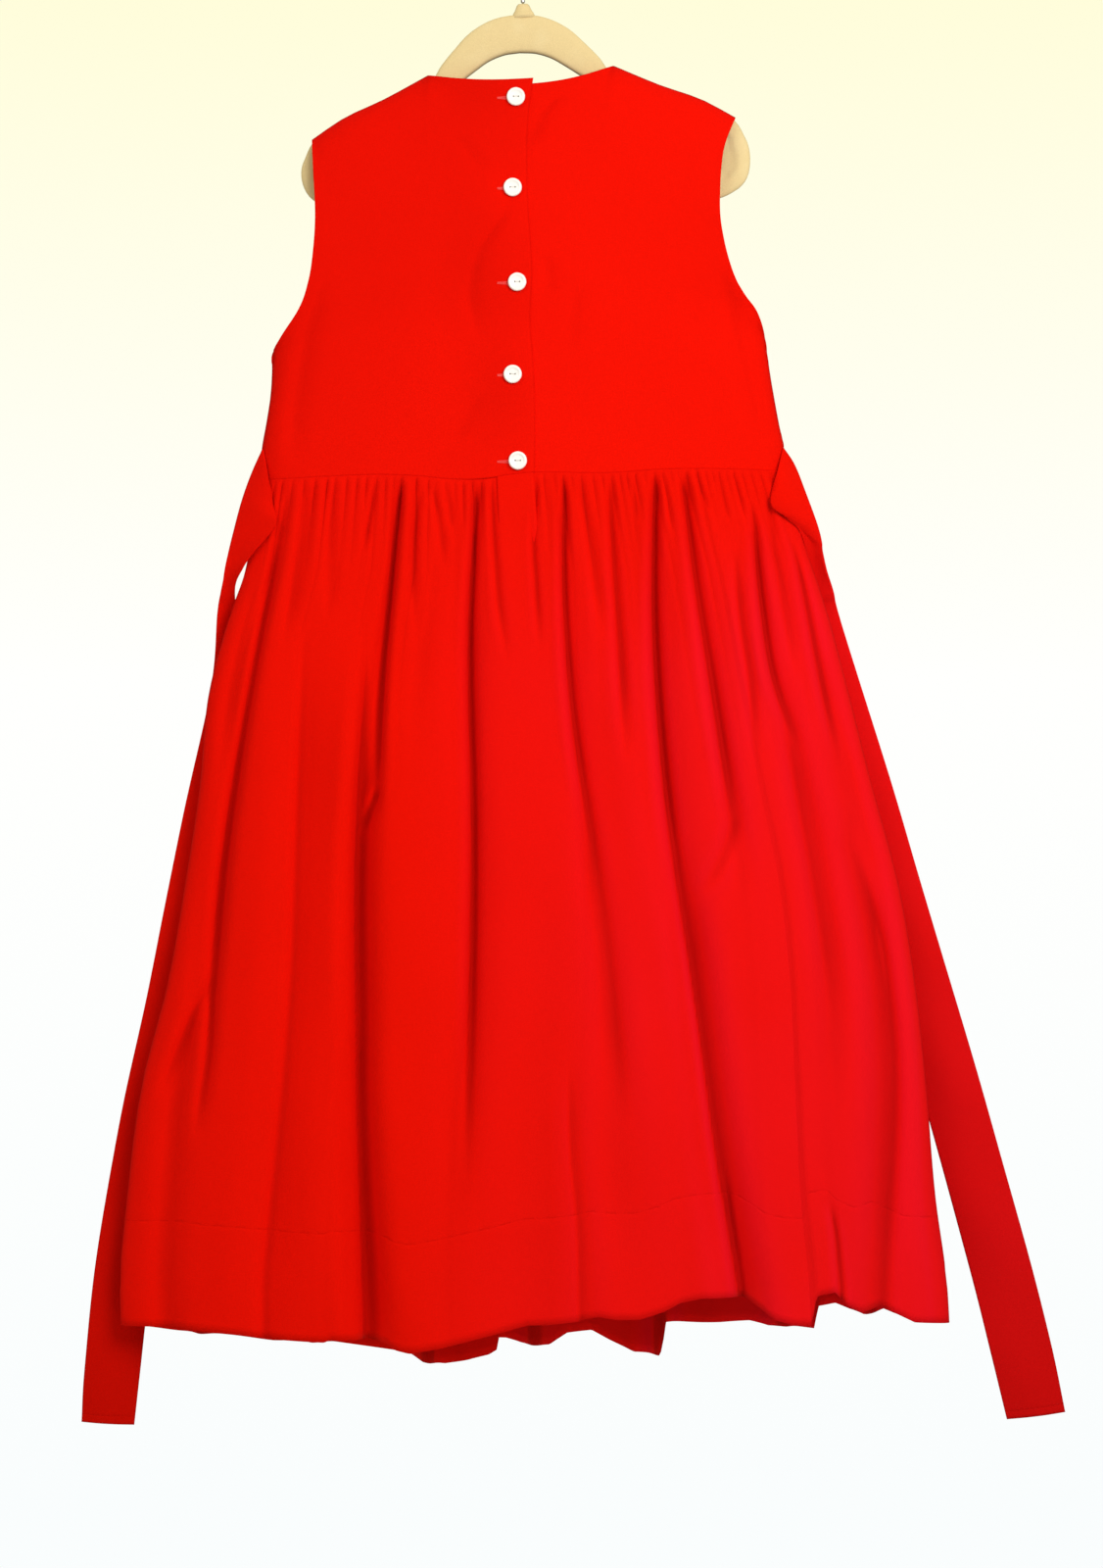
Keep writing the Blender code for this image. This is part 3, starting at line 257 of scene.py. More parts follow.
# Creases laid one by one: a line down through four places, with its depth, half width and which side is
# steep
Crease = namedtuple("Crease", "top_x top_z upper_x upper_z lower_x lower_z end_x end_z depth half lean")
CREASES_BACK = rows_of(
    Crease,
    (-0.1488, -0.3683, -0.1668, -0.4604, -0.1882, -0.5948, -0.1991, -0.7387, 0.007, 0.0036, 0.25),
    (-0.1964, -0.6696, -0.2096, -0.6981, -0.2186, -0.7193, -0.2277, -0.7405, 0.0035, 0.005, 0.2),
    (-0.1957, -0.6763, -0.1974, -0.7175, -0.2015, -0.7423, -0.2044, -0.7677, 0.003, 0.004, 0.2),
    (-0.1359, -0.3653, -0.1395, -0.3954, -0.1443, -0.4236, -0.1485, -0.4543, 0.0032, 0.004, 0.3),
    (-0.1206, -0.3603, -0.1205, -0.3868, -0.1205, -0.4132, -0.121, -0.442, 0.0018, 0.004, 0.1),
    (-0.1362, -0.4604, -0.139, -0.546, -0.1428, -0.6678, -0.1591, -0.8552, 0.006, 0.011, 0.55),
    (-0.0937, -0.3603, -0.0955, -0.3745, -0.0979, -0.3899, -0.0991, -0.4003, 0.003, 0.0019, 0),
    (-0.0771, -0.3622, -0.0819, -0.4114, -0.0885, -0.488, -0.0914, -0.5552, 0.008, 0.003, -0.2),
    (-0.0908, -0.5491, -0.0944, -0.5595, -0.098, -0.568, -0.1017, -0.5753, 0.0045, 0.0032, 0.2),
    (-0.0983, -0.4788, -0.1035, -0.5765, -0.1025, -0.7103, -0.0973, -0.8764, 0.013, 0.0065, 0.45),
    (-0.105, -0.7042, -0.106, -0.7647, -0.1047, -0.8251, -0.1021, -0.8704, 0.003, 0.008, -0.2),
    (-0.0636, -0.361, -0.0673, -0.3837, -0.0684, -0.4114, -0.0671, -0.4512, 0.0026, 0.003, 0.2),
    (-0.0575, -0.361, -0.0532, -0.3776, -0.0513, -0.3917, -0.0501, -0.4083, 0.002, 0.0024, 0),
    (-0.0471, -0.361, -0.0465, -0.3696, -0.0458, -0.3776, -0.0452, -0.3868, 0.0016, 0.002, 0),
    (-0.0293, -0.361, -0.0335, -0.4359, -0.0315, -0.5765, -0.0344, -0.7647, 0.008, 0.0032, 0.3),
    (-0.0207, -0.361, -0.0176, -0.4052, -0.0145, -0.439, -0.0102, -0.4635, 0.0026, 0.0026, 0),
    (0.0081, -0.3597, 0.0063, -0.3899, 0.0081, -0.4236, 0.0105, -0.4574, 0.0028, 0.0022, 0),
    (0.0252, -0.3603, 0.0252, -0.4236, 0.0301, -0.4972, 0.0435, -0.5887, 0.0065, 0.003, 0.3),
    (0.0399, -0.5643, 0.0484, -0.6253, 0.0544, -0.6799, 0.0604, -0.7496, 0.0045, 0.007, -0.2),
    (0.035, -0.3603, 0.0406, -0.3886, 0.0448, -0.4144, 0.0509, -0.4543, 0.0024, 0.0036, 0.1),
    (0.054, -0.3622, 0.0565, -0.4083, 0.0607, -0.4666, 0.0643, -0.5216, 0.004, 0.0032, 0.2),
    (0.0688, -0.3597, 0.0694, -0.3671, 0.07, -0.3733, 0.0706, -0.3806, 0.0015, 0.0016, 0),
    (0.0822, -0.3603, 0.0815, -0.4359, 0.0887, -0.546, 0.0989, -0.6253, 0.009, 0.0034, 0.3),
    (0.0959, -0.6009, 0.108, -0.6799, 0.1223, -0.7828, 0.1349, -0.8613, 0.01, 0.0075, 0.6),
    (0.089, -0.3591, 0.0902, -0.3683, 0.0914, -0.3776, 0.0926, -0.3868, 0.0014, 0.0016, 0),
    (0.1006, -0.3603, 0.1073, -0.4144, 0.1181, -0.4849, 0.1326, -0.5765, 0.007, 0.0036, 0.2),
    (0.1326, -0.5674, 0.1264, -0.5887, 0.1191, -0.604, 0.1105, -0.6161, 0.002, 0.005, 0),
    (0.1086, -0.3548, 0.111, -0.361, 0.1135, -0.3671, 0.1165, -0.3745, 0.0013, 0.0016, 0),
    (0.1221, -0.356, 0.1239, -0.3634, 0.1257, -0.3708, 0.1282, -0.3806, 0.0013, 0.0016, 0),
    (0.1337, -0.3548, 0.1349, -0.3622, 0.1368, -0.3696, 0.1392, -0.3794, 0.0013, 0.0016, 0),
    (0.133, -0.4052, 0.1366, -0.4451, 0.1426, -0.4849, 0.1455, -0.5247, 0.0032, 0.0032, 0.2),
    (0.1441, -0.3745, 0.1488, -0.4298, 0.1579, -0.4849, 0.17, -0.5186, 0.0065, 0.003, 0.2),
    (0.1657, -0.5094, 0.1753, -0.5643, 0.1849, -0.6192, 0.1968, -0.6921, 0.004, 0.0065, 0.2),
    (0.1527, -0.3683, 0.1593, -0.4083, 0.1659, -0.4482, 0.1713, -0.4788, 0.0026, 0.0034, 0.1),
    (0.1698, -0.3942, 0.177, -0.4298, 0.1866, -0.4788, 0.1974, -0.5277, 0.004, 0.003, 0.1),
    (0.2033, -0.5826, 0.2201, -0.6344, 0.2296, -0.6951, 0.224, -0.8643, 0.007, 0.0085, -0.3),
    (0.1259, -0.7919, 0.1295, -0.8191, 0.1331, -0.8432, 0.1367, -0.8704, 0.003, 0.002, 0.2),
    (0.1914, -0.81, 0.1944, -0.8251, 0.1962, -0.8432, 0.1979, -0.8613, 0.0026, 0.0022, 0.3),
    (0.0288, -0.7284, 0.0306, -0.7768, 0.0343, -0.816, 0.0361, -0.8764, 0.0024, 0.005, 0.5),
)
CREASES_FRONT = rows_of(
    Crease,
    (-0.144, -0.361, -0.156, -0.47, -0.179, -0.63, -0.205, -0.885, 0.007, 0.004, 0.2),
    (-0.116, -0.36, -0.123, -0.42, -0.133, -0.52, -0.142, -0.63, 0.004, 0.0036, -0.2),
    (-0.089, -0.36, -0.098, -0.45, -0.113, -0.62, -0.135, -0.89, 0.01, 0.0048, 0.3),
    (-0.065, -0.36, -0.069, -0.41, -0.072, -0.46, -0.074, -0.52, 0.003, 0.003, 0),
    (-0.043, -0.36, -0.048, -0.45, -0.056, -0.65, -0.061, -0.9, 0.01, 0.005, -0.3),
    (-0.018, -0.36, -0.02, -0.4, -0.022, -0.45, -0.02, -0.5, 0.003, 0.0028, 0.1),
    (0.005, -0.36, 0.006, -0.46, 0.007, -0.63, 0.006, -0.9, 0.0085, 0.0046, 0.2),
    (0.027, -0.36, 0.03, -0.42, 0.034, -0.5, 0.035, -0.61, 0.0045, 0.0034, -0.1),
    (0.048, -0.36, 0.055, -0.43, 0.07, -0.58, 0.086, -0.885, 0.0095, 0.0048, 0.3),
    (0.072, -0.36, 0.076, -0.4, 0.08, -0.45, 0.085, -0.51, 0.003, 0.003, 0),
    (0.096, -0.36, 0.106, -0.44, 0.13, -0.6, 0.165, -0.88, 0.0095, 0.005, -0.2),
    (0.121, -0.36, 0.129, -0.42, 0.14, -0.5, 0.15, -0.6, 0.004, 0.0036, 0.2),
    (0.143, -0.36, 0.159, -0.45, 0.188, -0.62, 0.22, -0.88, 0.007, 0.0042, 0),
)
CREASES_BODICE = rows_of(
    Crease,
    (0.0228, -0.1158, 0.013, -0.1281, 0.0081, -0.1385, 0.002, -0.1489, 0.0016, 0.005, 0),
    (-0.0079, -0.1857, -0.0262, -0.2139, -0.0318, -0.2427, -0.025, -0.2702, 0.0017, 0.0055, 0.2),
    (-0.1243, -0.2335, -0.1347, -0.2672, -0.1408, -0.3009, -0.1439, -0.3499, 0.0018, 0.007, 0),
    (0.127, -0.2273, 0.135, -0.2641, 0.1423, -0.2948, 0.1533, -0.3499, 0.0018, 0.007, 0),
    (0.0154, -0.2163, 0.0167, -0.2243, 0.0173, -0.2335, 0.0167, -0.2427, 0.0008, 0.005, 0),
    (0.035, -0.2335, 0.0338, -0.2457, 0.0326, -0.2611, 0.0314, -0.2764, 0.0007, 0.006, 0),
    (-0.0262, -0.304, -0.0311, -0.3131, -0.036, -0.3236, -0.0409, -0.3346, 0.0008, 0.006, 0),
    (-0.0397, -0.1415, -0.0336, -0.1489, -0.0287, -0.1569, -0.025, -0.1673, 0.0007, 0.006, 0),
)

# Gathers just under the waist seam: the valleys between the puffs and how far down each reaches
Valley = namedtuple("Valley", "x reach")
GATHERS_BACK = rows_of(
    Valley,
    (-0.1555, 0.03), (-0.1505, 0.055), (-0.1438, 0.028), (-0.137, 0.045), (-0.1296, 0.022), (-0.1222, 0.04),
    (-0.1172, 0.018), (-0.1098, 0.03), (-0.1037, 0.024), (-0.0975, 0.02), (-0.0913, 0.05), (-0.0858, 0.018),
    (-0.0802, 0.075), (-0.0765, 0.02), (-0.0666, 0.055), (-0.0586, 0.035), (-0.0549, 0.018),
    (-0.0481, 0.022), (-0.0426, 0.016), (-0.0376, 0.018), (-0.0315, 0.07), (-0.0259, 0.016),
    (-0.0185, 0.04), (0.0074, 0.045), (0.013, 0.018), (0.0197, 0.03), (0.0247, 0.07), (0.0302, 0.016),
    (0.0364, 0.045), (0.0438, 0.024), (0.0494, 0.018), (0.0555, 0.05), (0.0605, 0.016), (0.0648, 0.022),
    (0.0703, 0.018), (0.0759, 0.02), (0.0821, 0.08), (0.087, 0.016), (0.0926, 0.024), (0.0969, 0.014),
    (0.1018, 0.06), (0.1092, 0.018), (0.1141, 0.022), (0.1185, 0.014), (0.1222, 0.022), (0.1271, 0.014),
    (0.1314, 0.02), (0.137, 0.024), (0.1425, 0.034), (0.1487, 0.026), (0.1555, 0.05),
)
GATHERS_FRONT = 58

# How far to either side a hollow is judged, and the depth that counts as full, in the map by which shade is
# painted into hollows and highlight onto crests
HOLLOW_REACHES = ((0.0055, 0.0016), (0.0160, 0.0070))

# Button centres down the back, top to bottom
Spot = namedtuple("Spot", "x z")
BUTTONS = rows_of(
    Spot,
    (-0.005, -0.1161), (-0.007, -0.1728), (-0.0042, -0.232), (-0.007, -0.2897), (-0.0038, -0.3438),
)

# Sash sections from the seam to the free end: outer edge, inner edge, and how far the middle folds to +Y
SashRow = namedtuple("SashRow", "out_x out_z out_y in_x in_z in_y fold")
SASH_LEFT = rows_of(
    SashRow,
    (-0.1641, -0.3355, -0.0048, -0.1583, -0.3637, -0.0115, -0.0015),
    (-0.1714, -0.3512, -0.002, -0.157, -0.3724, -0.013, -0.003),
    (-0.1775, -0.3685, -0.0025, -0.155, -0.3799, -0.0148, -0.003),
    (-0.1831, -0.3888, -0.0012, -0.1569, -0.3866, -0.0143, -0.001),
    (-0.1864, -0.4017, 0, -0.17, -0.4009, -0.0105, 0.001),
    (-0.1886, -0.4115, 0.0008, -0.1772, -0.411, -0.0058, 0.001),
    (-0.1912, -0.4249, 0.004, -0.1826, -0.4235, 0.0048, 0.001),
    (-0.1938, -0.4389, 0.008, -0.1807, -0.4467, 0.014, 0.001),
    (-0.199, -0.4874, 0.0155, -0.174, -0.4843, 0.0215, -0.0025),
    (-0.2166, -0.5676, 0.0155, -0.1832, -0.5676, 0.0215, -0.0025),
    (-0.2375, -0.6719, 0.0155, -0.203, -0.6719, 0.0215, -0.0025),
    (-0.2567, -0.7608, 0.0155, -0.2221, -0.7651, 0.0215, -0.0025),
    (-0.2715, -0.849, 0.0155, -0.2363, -0.8515, 0.0215, -0.0025),
    (-0.2783, -0.9162, 0.0125, -0.2437, -0.9175, 0.018, -0.0025),
    (-0.2801, -0.9496, 0.012, -0.2474, -0.952, 0.016, -0.0025),
)
SASH_RIGHT = rows_of(
    SashRow,
    (0.1629, -0.3348, -0.0048, 0.156, -0.3619, -0.0118, -0.002),
    (0.1702, -0.3457, -0.002, 0.1547, -0.3676, -0.0142, -0.004),
    (0.1775, -0.3642, -0.0025, 0.1546, -0.3707, -0.015, -0.003),
    (0.1844, -0.3826, -0.0015, 0.1565, -0.3737, -0.0145, -0.001),
    (0.1877, -0.3936, 0.0012, 0.1641, -0.3783, -0.0105, 0.001),
    (0.1884, -0.4002, 0.0032, 0.1737, -0.3871, -0.004, 0.003),
    (0.1911, -0.4118, 0.006, 0.1781, -0.4063, 0.006, 0.003),
    (0.1957, -0.4246, 0.0095, 0.1762, -0.4275, 0.0145, 0),
    (0.202, -0.4473, 0.0155, 0.18, -0.4504, 0.021, -0.0025),
    (0.2332, -0.5467, 0.0155, 0.1993, -0.5534, 0.0215, -0.0025),
    (0.2561, -0.625, 0.0155, 0.2227, -0.6355, 0.0215, -0.0025),
    (0.2844, -0.7188, 0.0155, 0.2487, -0.7281, 0.0215, -0.0025),
    (0.3165, -0.8342, 0.0125, 0.2807, -0.8453, 0.018, -0.0025),
    (0.3332, -0.899, 0.012, 0.2955, -0.9051, 0.016, -0.0025),
    (0.3424, -0.9434, 0.012, 0.306, -0.9483, 0.015, -0.0025),
)

# Rows of smocking down the front panel: a row's height, how far it zigzags and its direction
SmockRow = namedtuple("SmockRow", "z swing turn")
SMOCK_ROWS = tuple(
    SmockRow(z, swing, turn)
    for z, swing in (
        (-0.165, 0), (-0.169, 0), (-0.186, 0.007), (-0.204, 0.007), (-0.221, 0), (-0.238, 0.007),
        (-0.256, 0.007), (-0.273, 0), (-0.29, 0.007), (-0.308, 0.007), (-0.325, 0), (-0.329, 0),
    )
    for turn in ((1, -1) if swing else (1,))
)


def length_prop(label, description, default):
    return FloatProperty(name=label, description=description, default=default, unit="LENGTH")


def share_prop(label, description, default):
    return FloatProperty(name=label, description=description, default=default, subtype="FACTOR")


def colour_prop(label, description, default):
    return FloatVectorProperty(
        name=label, description=description, default=default, size=3, subtype="COLOR"
    )


class DressSizes(PropertyGroup):
    """Sizes of the dress's cloth and sewing."""

    cloth: length_prop("Cloth", "Thickness of the cotton", 0.0009)
    sash_cloth: length_prop("Sash cloth", "Thickness of the doubled sash", 0.0013)
    thread_pitch: length_prop("Thread pitch", "Spacing of the weave's threads", 0.00055)
    puff: share_prop("Puff", "Height of a gather as a share of its width", 0.34)
    crease: share_prop("Crease", "Strength of the large folds and creases", 1.0)
    hem: length_prop("Hem", "Depth of the skirt's hem", 0.066)
    pleat: length_prop("Pleat", "Spacing of the smocked pleats", 0.0042)
    pleat_height: length_prop("Pleat height", "Height of the smocked pleats", 0.0019)
    columns: IntProperty(
        name="Columns", description="Columns of mesh across the skirt", default=350, min=40, max=380
    )


class DressColours(PropertyGroup):
    """Colours of the dress, its buttons and its hanger."""

    cotton: colour_prop("Cotton", "Red of the cloth", (0.76, 0.0042, 0.0003))
    # Painted sheen: the cooler red painted on crests and over the skirt's lower right
    painted_sheen_red: colour_prop("Cotton pink", "Cooler red of worn crests", (0.78, 0.0050, 0.0120))
    thread: colour_prop("Thread", "Sewing and smocking thread", (0.98, 0.085, 0.080))
    pearl: colour_prop("Pearl", "Buttons", (0.88, 0.87, 0.84))
    flock: colour_prop("Flock", "Flocked hanger", (0.72, 0.56, 0.29))
    steel: colour_prop("Steel", "Hook wire", (0.60, 0.58, 0.55))
    floor: colour_prop("Floor", "Studio floor", (0.86, 0.86, 0.85))


# Curves and shares
def column(table, name):
    """One named column of a table, as an array."""
    return np.array([getattr(row, name) for row in table])


def smooth(places, values, at):
    """Values read at places along a smooth curve through a table's rows."""
    places, values = np.asarray(places, float), np.asarray(values, float)
    at = np.clip(np.asarray(at, float), places[0], places[-1])
    slopes = np.gradient(values, places)
    i = np.clip(np.searchsorted(places, at, side="right") - 1, 0, len(places) - 2)
    span = places[i + 1] - places[i]
    t = (at - places[i]) / span
    rise = (values[i + 1] - values[i]) * t * t * (3 - 2 * t)
    return values[i] + rise + span * (t * (1 - t) ** 2 * slopes[i] + t * t * (t - 1) * slopes[i + 1])


def read(table, place, value, at):
    """A table's value column read smoothly at places in its place column."""
    return smooth(column(table, place), column(table, value), at)


def ramp(value, low, high):
    """0 below low, 1 above high, and an even S between."""
    t = np.clip((np.asarray(value, float) - low) / (high - low), 0.0, 1.0)
    return t * t * (3 - 2 * t)


def uneven(number):
    """A fixed share between 0 and 1 for a whole number, so that repeats differ."""
    return np.mod(np.sin(np.asarray(number, float) * 12.9898) * 43758.5453, 1.0)


def tilted(x, z):
    """A direction of the hanger's own frame, turned by its tilt."""
    c, s = math.cos(HANGER_TILT), math.sin(HANGER_TILT)
    return x * c - z * s, x * s + z * c


def photo_frame(x, z):
    """A point of the hanger's own frame, as the tilted hanger hangs."""
    x, z = tilted(x, z)
    return x + HANGER_SHIFT, z


def graded(start, end, count, power):
    """Stations that crowd toward start."""
    return start + (end - start) * (np.arange(count + 1) / count) ** power


def join(*runs):
    """Runs of stations end to end, each shared end kept once."""
    return np.concatenate([runs[0]] + [run[1:] for run in runs[1:]])


def lengths(points, axis):
    """How far along its own cloth each point of a grid lies."""
    steps = np.linalg.norm(np.diff(points, axis=axis), axis=2)
    mean = steps.mean(axis=1 - axis)
    return np.concatenate([[0.0], np.cumsum(mean)])


def hollows(points):
    """How far each point of a grid lies in a hollow (up to 1) or on a crest (down to -1): the map by which
    shade and highlight are painted.
    """
    depth = np.abs(points[..., 1])
    spacing = np.abs(np.diff(points[..., 0], axis=1)).mean()
    total = np.zeros(depth.shape)
    for reach, scale in HOLLOW_REACHES:
        n = max(1, int(reach / spacing))
        kernel = np.hanning(2 * n + 3)[1:-1]
        wide = np.pad(depth, ((0, 0), (n, n)), mode="edge")
        blurred = np.stack([np.convolve(row, kernel / kernel.sum(), mode="valid") for row in wide])
        total += (blurred - depth) / scale
    return np.clip(total, -1.0, 1.0)


def mesh_of(bm, name):
    """A named mesh of what has been built, which is then let go."""
    mesh = bpy.data.meshes.new(name)
    bm.to_mesh(mesh)
    bm.free()
    return mesh


def new_object(name, mesh, finish):
    """A smooth-shaded object of one material."""
    mesh.shade_smooth()
    mesh.materials.append(finish)
    made = bpy.data.objects.new(name, mesh)
    bpy.context.collection.objects.link(made)
    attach(made, "root")
    return made


def grid_piece(name, points, finish, toward=None, merge=False, from_hem=False, shade_hollows=True):
    """A grid moved to its points, with a map in metres of its own cloth and a hollow map for painted shade
    and highlight.
    """
    rows, columns = points.shape[:2]
    bm = bmesh.new()
    bmesh.ops.create_grid(bm, x_segments=columns - 1, y_segments=rows - 1, size=0.5)
    places = np.array([vert.co for vert in bm.verts])
    across = np.rint((places[:, 0] + 0.5) * (columns - 1)).astype(int)
    down = np.rint((0.5 - places[:, 1]) * (rows - 1)).astype(int)
    for vert, place in zip(bm.verts, points[down, across]):
        vert.co = place
    mesh = bpy.data.meshes.new(name)
    bm.normal_update()
    if toward is not None and sum(face.normal.y for face in bm.faces) * toward < 0:
        bmesh.ops.reverse_faces(bm, faces=bm.faces)
    flat_u, flat_v = lengths(points, 1), lengths(points, 0)
    if from_hem:
        flat_v = flat_v[-1] - flat_v
    bm.to_mesh(mesh)
    corners = np.empty(len(mesh.loops), int)
    mesh.loops.foreach_get("vertex_index", corners)
    flat = np.stack([flat_u[across], flat_v[down]], axis=-1)
    mesh.uv_layers.new(name="cut").data.foreach_set("uv", flat[corners].ravel())
    # The hollow map, by which the materials paint shade into hollows and highlight onto crests, or zeros
    # where it is turned off
    pressed = mesh.attributes.new("hollow", "FLOAT", "POINT")
    pressed.data.foreach_set("value", shade_hollows * hollows(points)[down, across])
    if merge:
        bm.clear()
        bm.from_mesh(mesh)
        bmesh.ops.remove_doubles(bm, verts=bm.verts, dist=1e-7)
        bmesh.ops.recalc_face_normals(bm, faces=bm.faces)
        bm.to_mesh(mesh)
    bm.free()
    return new_object(name, mesh, finish)


def cloth_piece(name, node, points, finish, thick, held, rests_on, toward, from_hem=False, shade_hollows=True):
    """A sheet of cloth that stands for its solid, its thickness shared between both its sides."""
    piece = grid_piece(name, points, finish, toward=toward, from_hem=from_hem, shade_hollows=shade_hollows)
    wall = piece.modifiers.new("cloth", "SOLIDIFY")
    wall.thickness = thick
    wall.offset = 0.0
    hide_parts(node)


def tube_points(path, side, half_side, half_deep, corners, power=1.0):
    """Rings of points about a path in the XZ plane, with squarer sections at powers below 1."""
    angles = 2 * math.pi * np.arange(corners + 1) / corners
    out = np.sign(np.cos(angles)) * np.abs(np.cos(angles)) ** power
    deep = np.sign(np.sin(angles)) * np.abs(np.sin(angles)) ** power
    flat = path[:, None, :] + side[:, None, :] * (out[None, :] * half_side[:, None])[..., None]
    y = deep[None, :] * half_deep[:, None]
    return np.stack([flat[..., 0], y, flat[..., 1]], axis=-1)


def left_of(path, closed=False):
    """Unit vectors across a path in its plane."""
    along = np.roll(path, -1, axis=0) - np.roll(path, 1, axis=0) if closed else np.gradient(path, axis=0)
    along /= np.linalg.norm(along, axis=1, keepdims=True)
    return np.stack([-along[:, 1], along[:, 0]], axis=-1)


# Materials
class Varying:
    """A number that varies over a surface, on which sums and products add Math nodes."""

    def __init__(self, paint, socket):
        self.paint = paint
        self.socket = socket

    def maths(self, operation, *values):
        """The result of one Math node."""
        return self.paint.add("ShaderNodeMath", {"operation": operation}, dict(enumerate(values)))

    def __add__(self, other):
        return self.maths("ADD", self, other)

    def __radd__(self, other):
        return self.maths("ADD", other, self)

    def __sub__(self, other):
        return self.maths("SUBTRACT", self, other)

    def __rsub__(self, other):
        return self.maths("SUBTRACT", other, self)

    def __mul__(self, other):
        return self.maths("MULTIPLY", self, other)

    def __rmul__(self, other):
        return self.maths("MULTIPLY", other, self)

    def __truediv__(self, other):
        return self.maths("DIVIDE", self, other)

    def __rtruediv__(self, other):
        return self.maths("DIVIDE", other, self)

    def sine(self):
        return self.maths("SINE", self)

    def least(self, limit):
        """The value, or a limit where it is below it."""
        return self.maths("MAXIMUM", self, limit)

    def most(self, limit):
        return self.maths("MINIMUM", self, limit)

    def over(self, limit):
        """1 where the value is greater than a limit."""
        return self.maths("GREATER_THAN", self, limit)

    def bell(self, width):
        """1 where the value is 0, falling away over a width."""
        share = self / width
        return 1.0 / (1.0 + share * share)


class Paint:
    """The nodes of a material or of the world, which its shader brings together."""

    def __init__(self, owner, shader="Principled BSDF"):
        owner.use_nodes = True
        self.owner = owner
        self.tree = owner.node_tree
        self.shader = self.tree.nodes[shader]

    def add(self, kind, settings=None, sockets=None, output=0):
        """One node of a kind, its settings first and then its sockets' values or links."""
        node = self.tree.nodes.new(kind)
        for key, value in (settings or {}).items():
            setattr(node, key, value)
        for key, value in (sockets or {}).items():
            self.fill(node.inputs[key], value)
        return Varying(self, node.outputs[output])

    def fill(self, socket, value):
        if isinstance(value, Varying):
            self.tree.links.new(value.socket, socket)
        else:
            socket.default_value = value

    def set(self, **sockets):
        """Fill the shader's own sockets, whose names have spaces for underscores."""
        for key, value in sockets.items():
            self.fill(self.shader.inputs[key.replace("_", " ")], value)

    def parts(self, vector):
        """The three numbers of a vector."""
        split = self.add("ShaderNodeSeparateXYZ", None, {0: vector}).socket.node
        return [Varying(self, output) for output in split.outputs]

    def cut_map(self):
        """Metres across and along the piece's own cloth, and both as a vector."""
        flat = self.add("ShaderNodeUVMap", {"uv_map": "cut"})
        across, along, _ = self.parts(flat)
        return across, along, flat

    def place(self):
        """Where a point is in the object's own space."""
        return self.add("ShaderNodeTexCoord", output=3)

    def hollow(self):
        """The painted-shade map: how far a point lies in a hollow, or on the hanger how far it faces down
        under the arch.
        """
        return self.add("ShaderNodeAttribute", {"attribute_name": "hollow"}, output=2)

    def mapped(self, vector, scale):
        return self.add("ShaderNodeMapping", None, {"Vector": vector, "Scale": scale})

    def noise(self, vector, scale, detail=2.0, roughness=0.5):
        sockets = {"Vector": vector, "Scale": scale, "Detail": detail, "Roughness": roughness}
        return self.add("ShaderNodeTexNoise", None, sockets)

    def mix(self, share, first, second):
        """A colour between two."""
        sockets = {0: share, 6: first, 7: second}
        return self.add("ShaderNodeMix", {"data_type": "RGBA"}, sockets, output=2)

    def bump(self, height, distance, strength=1.0):
        sockets = {"Height": height, "Distance": distance, "Strength": strength}
        return self.add("ShaderNodeBump", None, sockets)


def rgba(colour, light=1.0):
    return (colour[0] * light, colour[1] * light, colour[2] * light, 1.0)


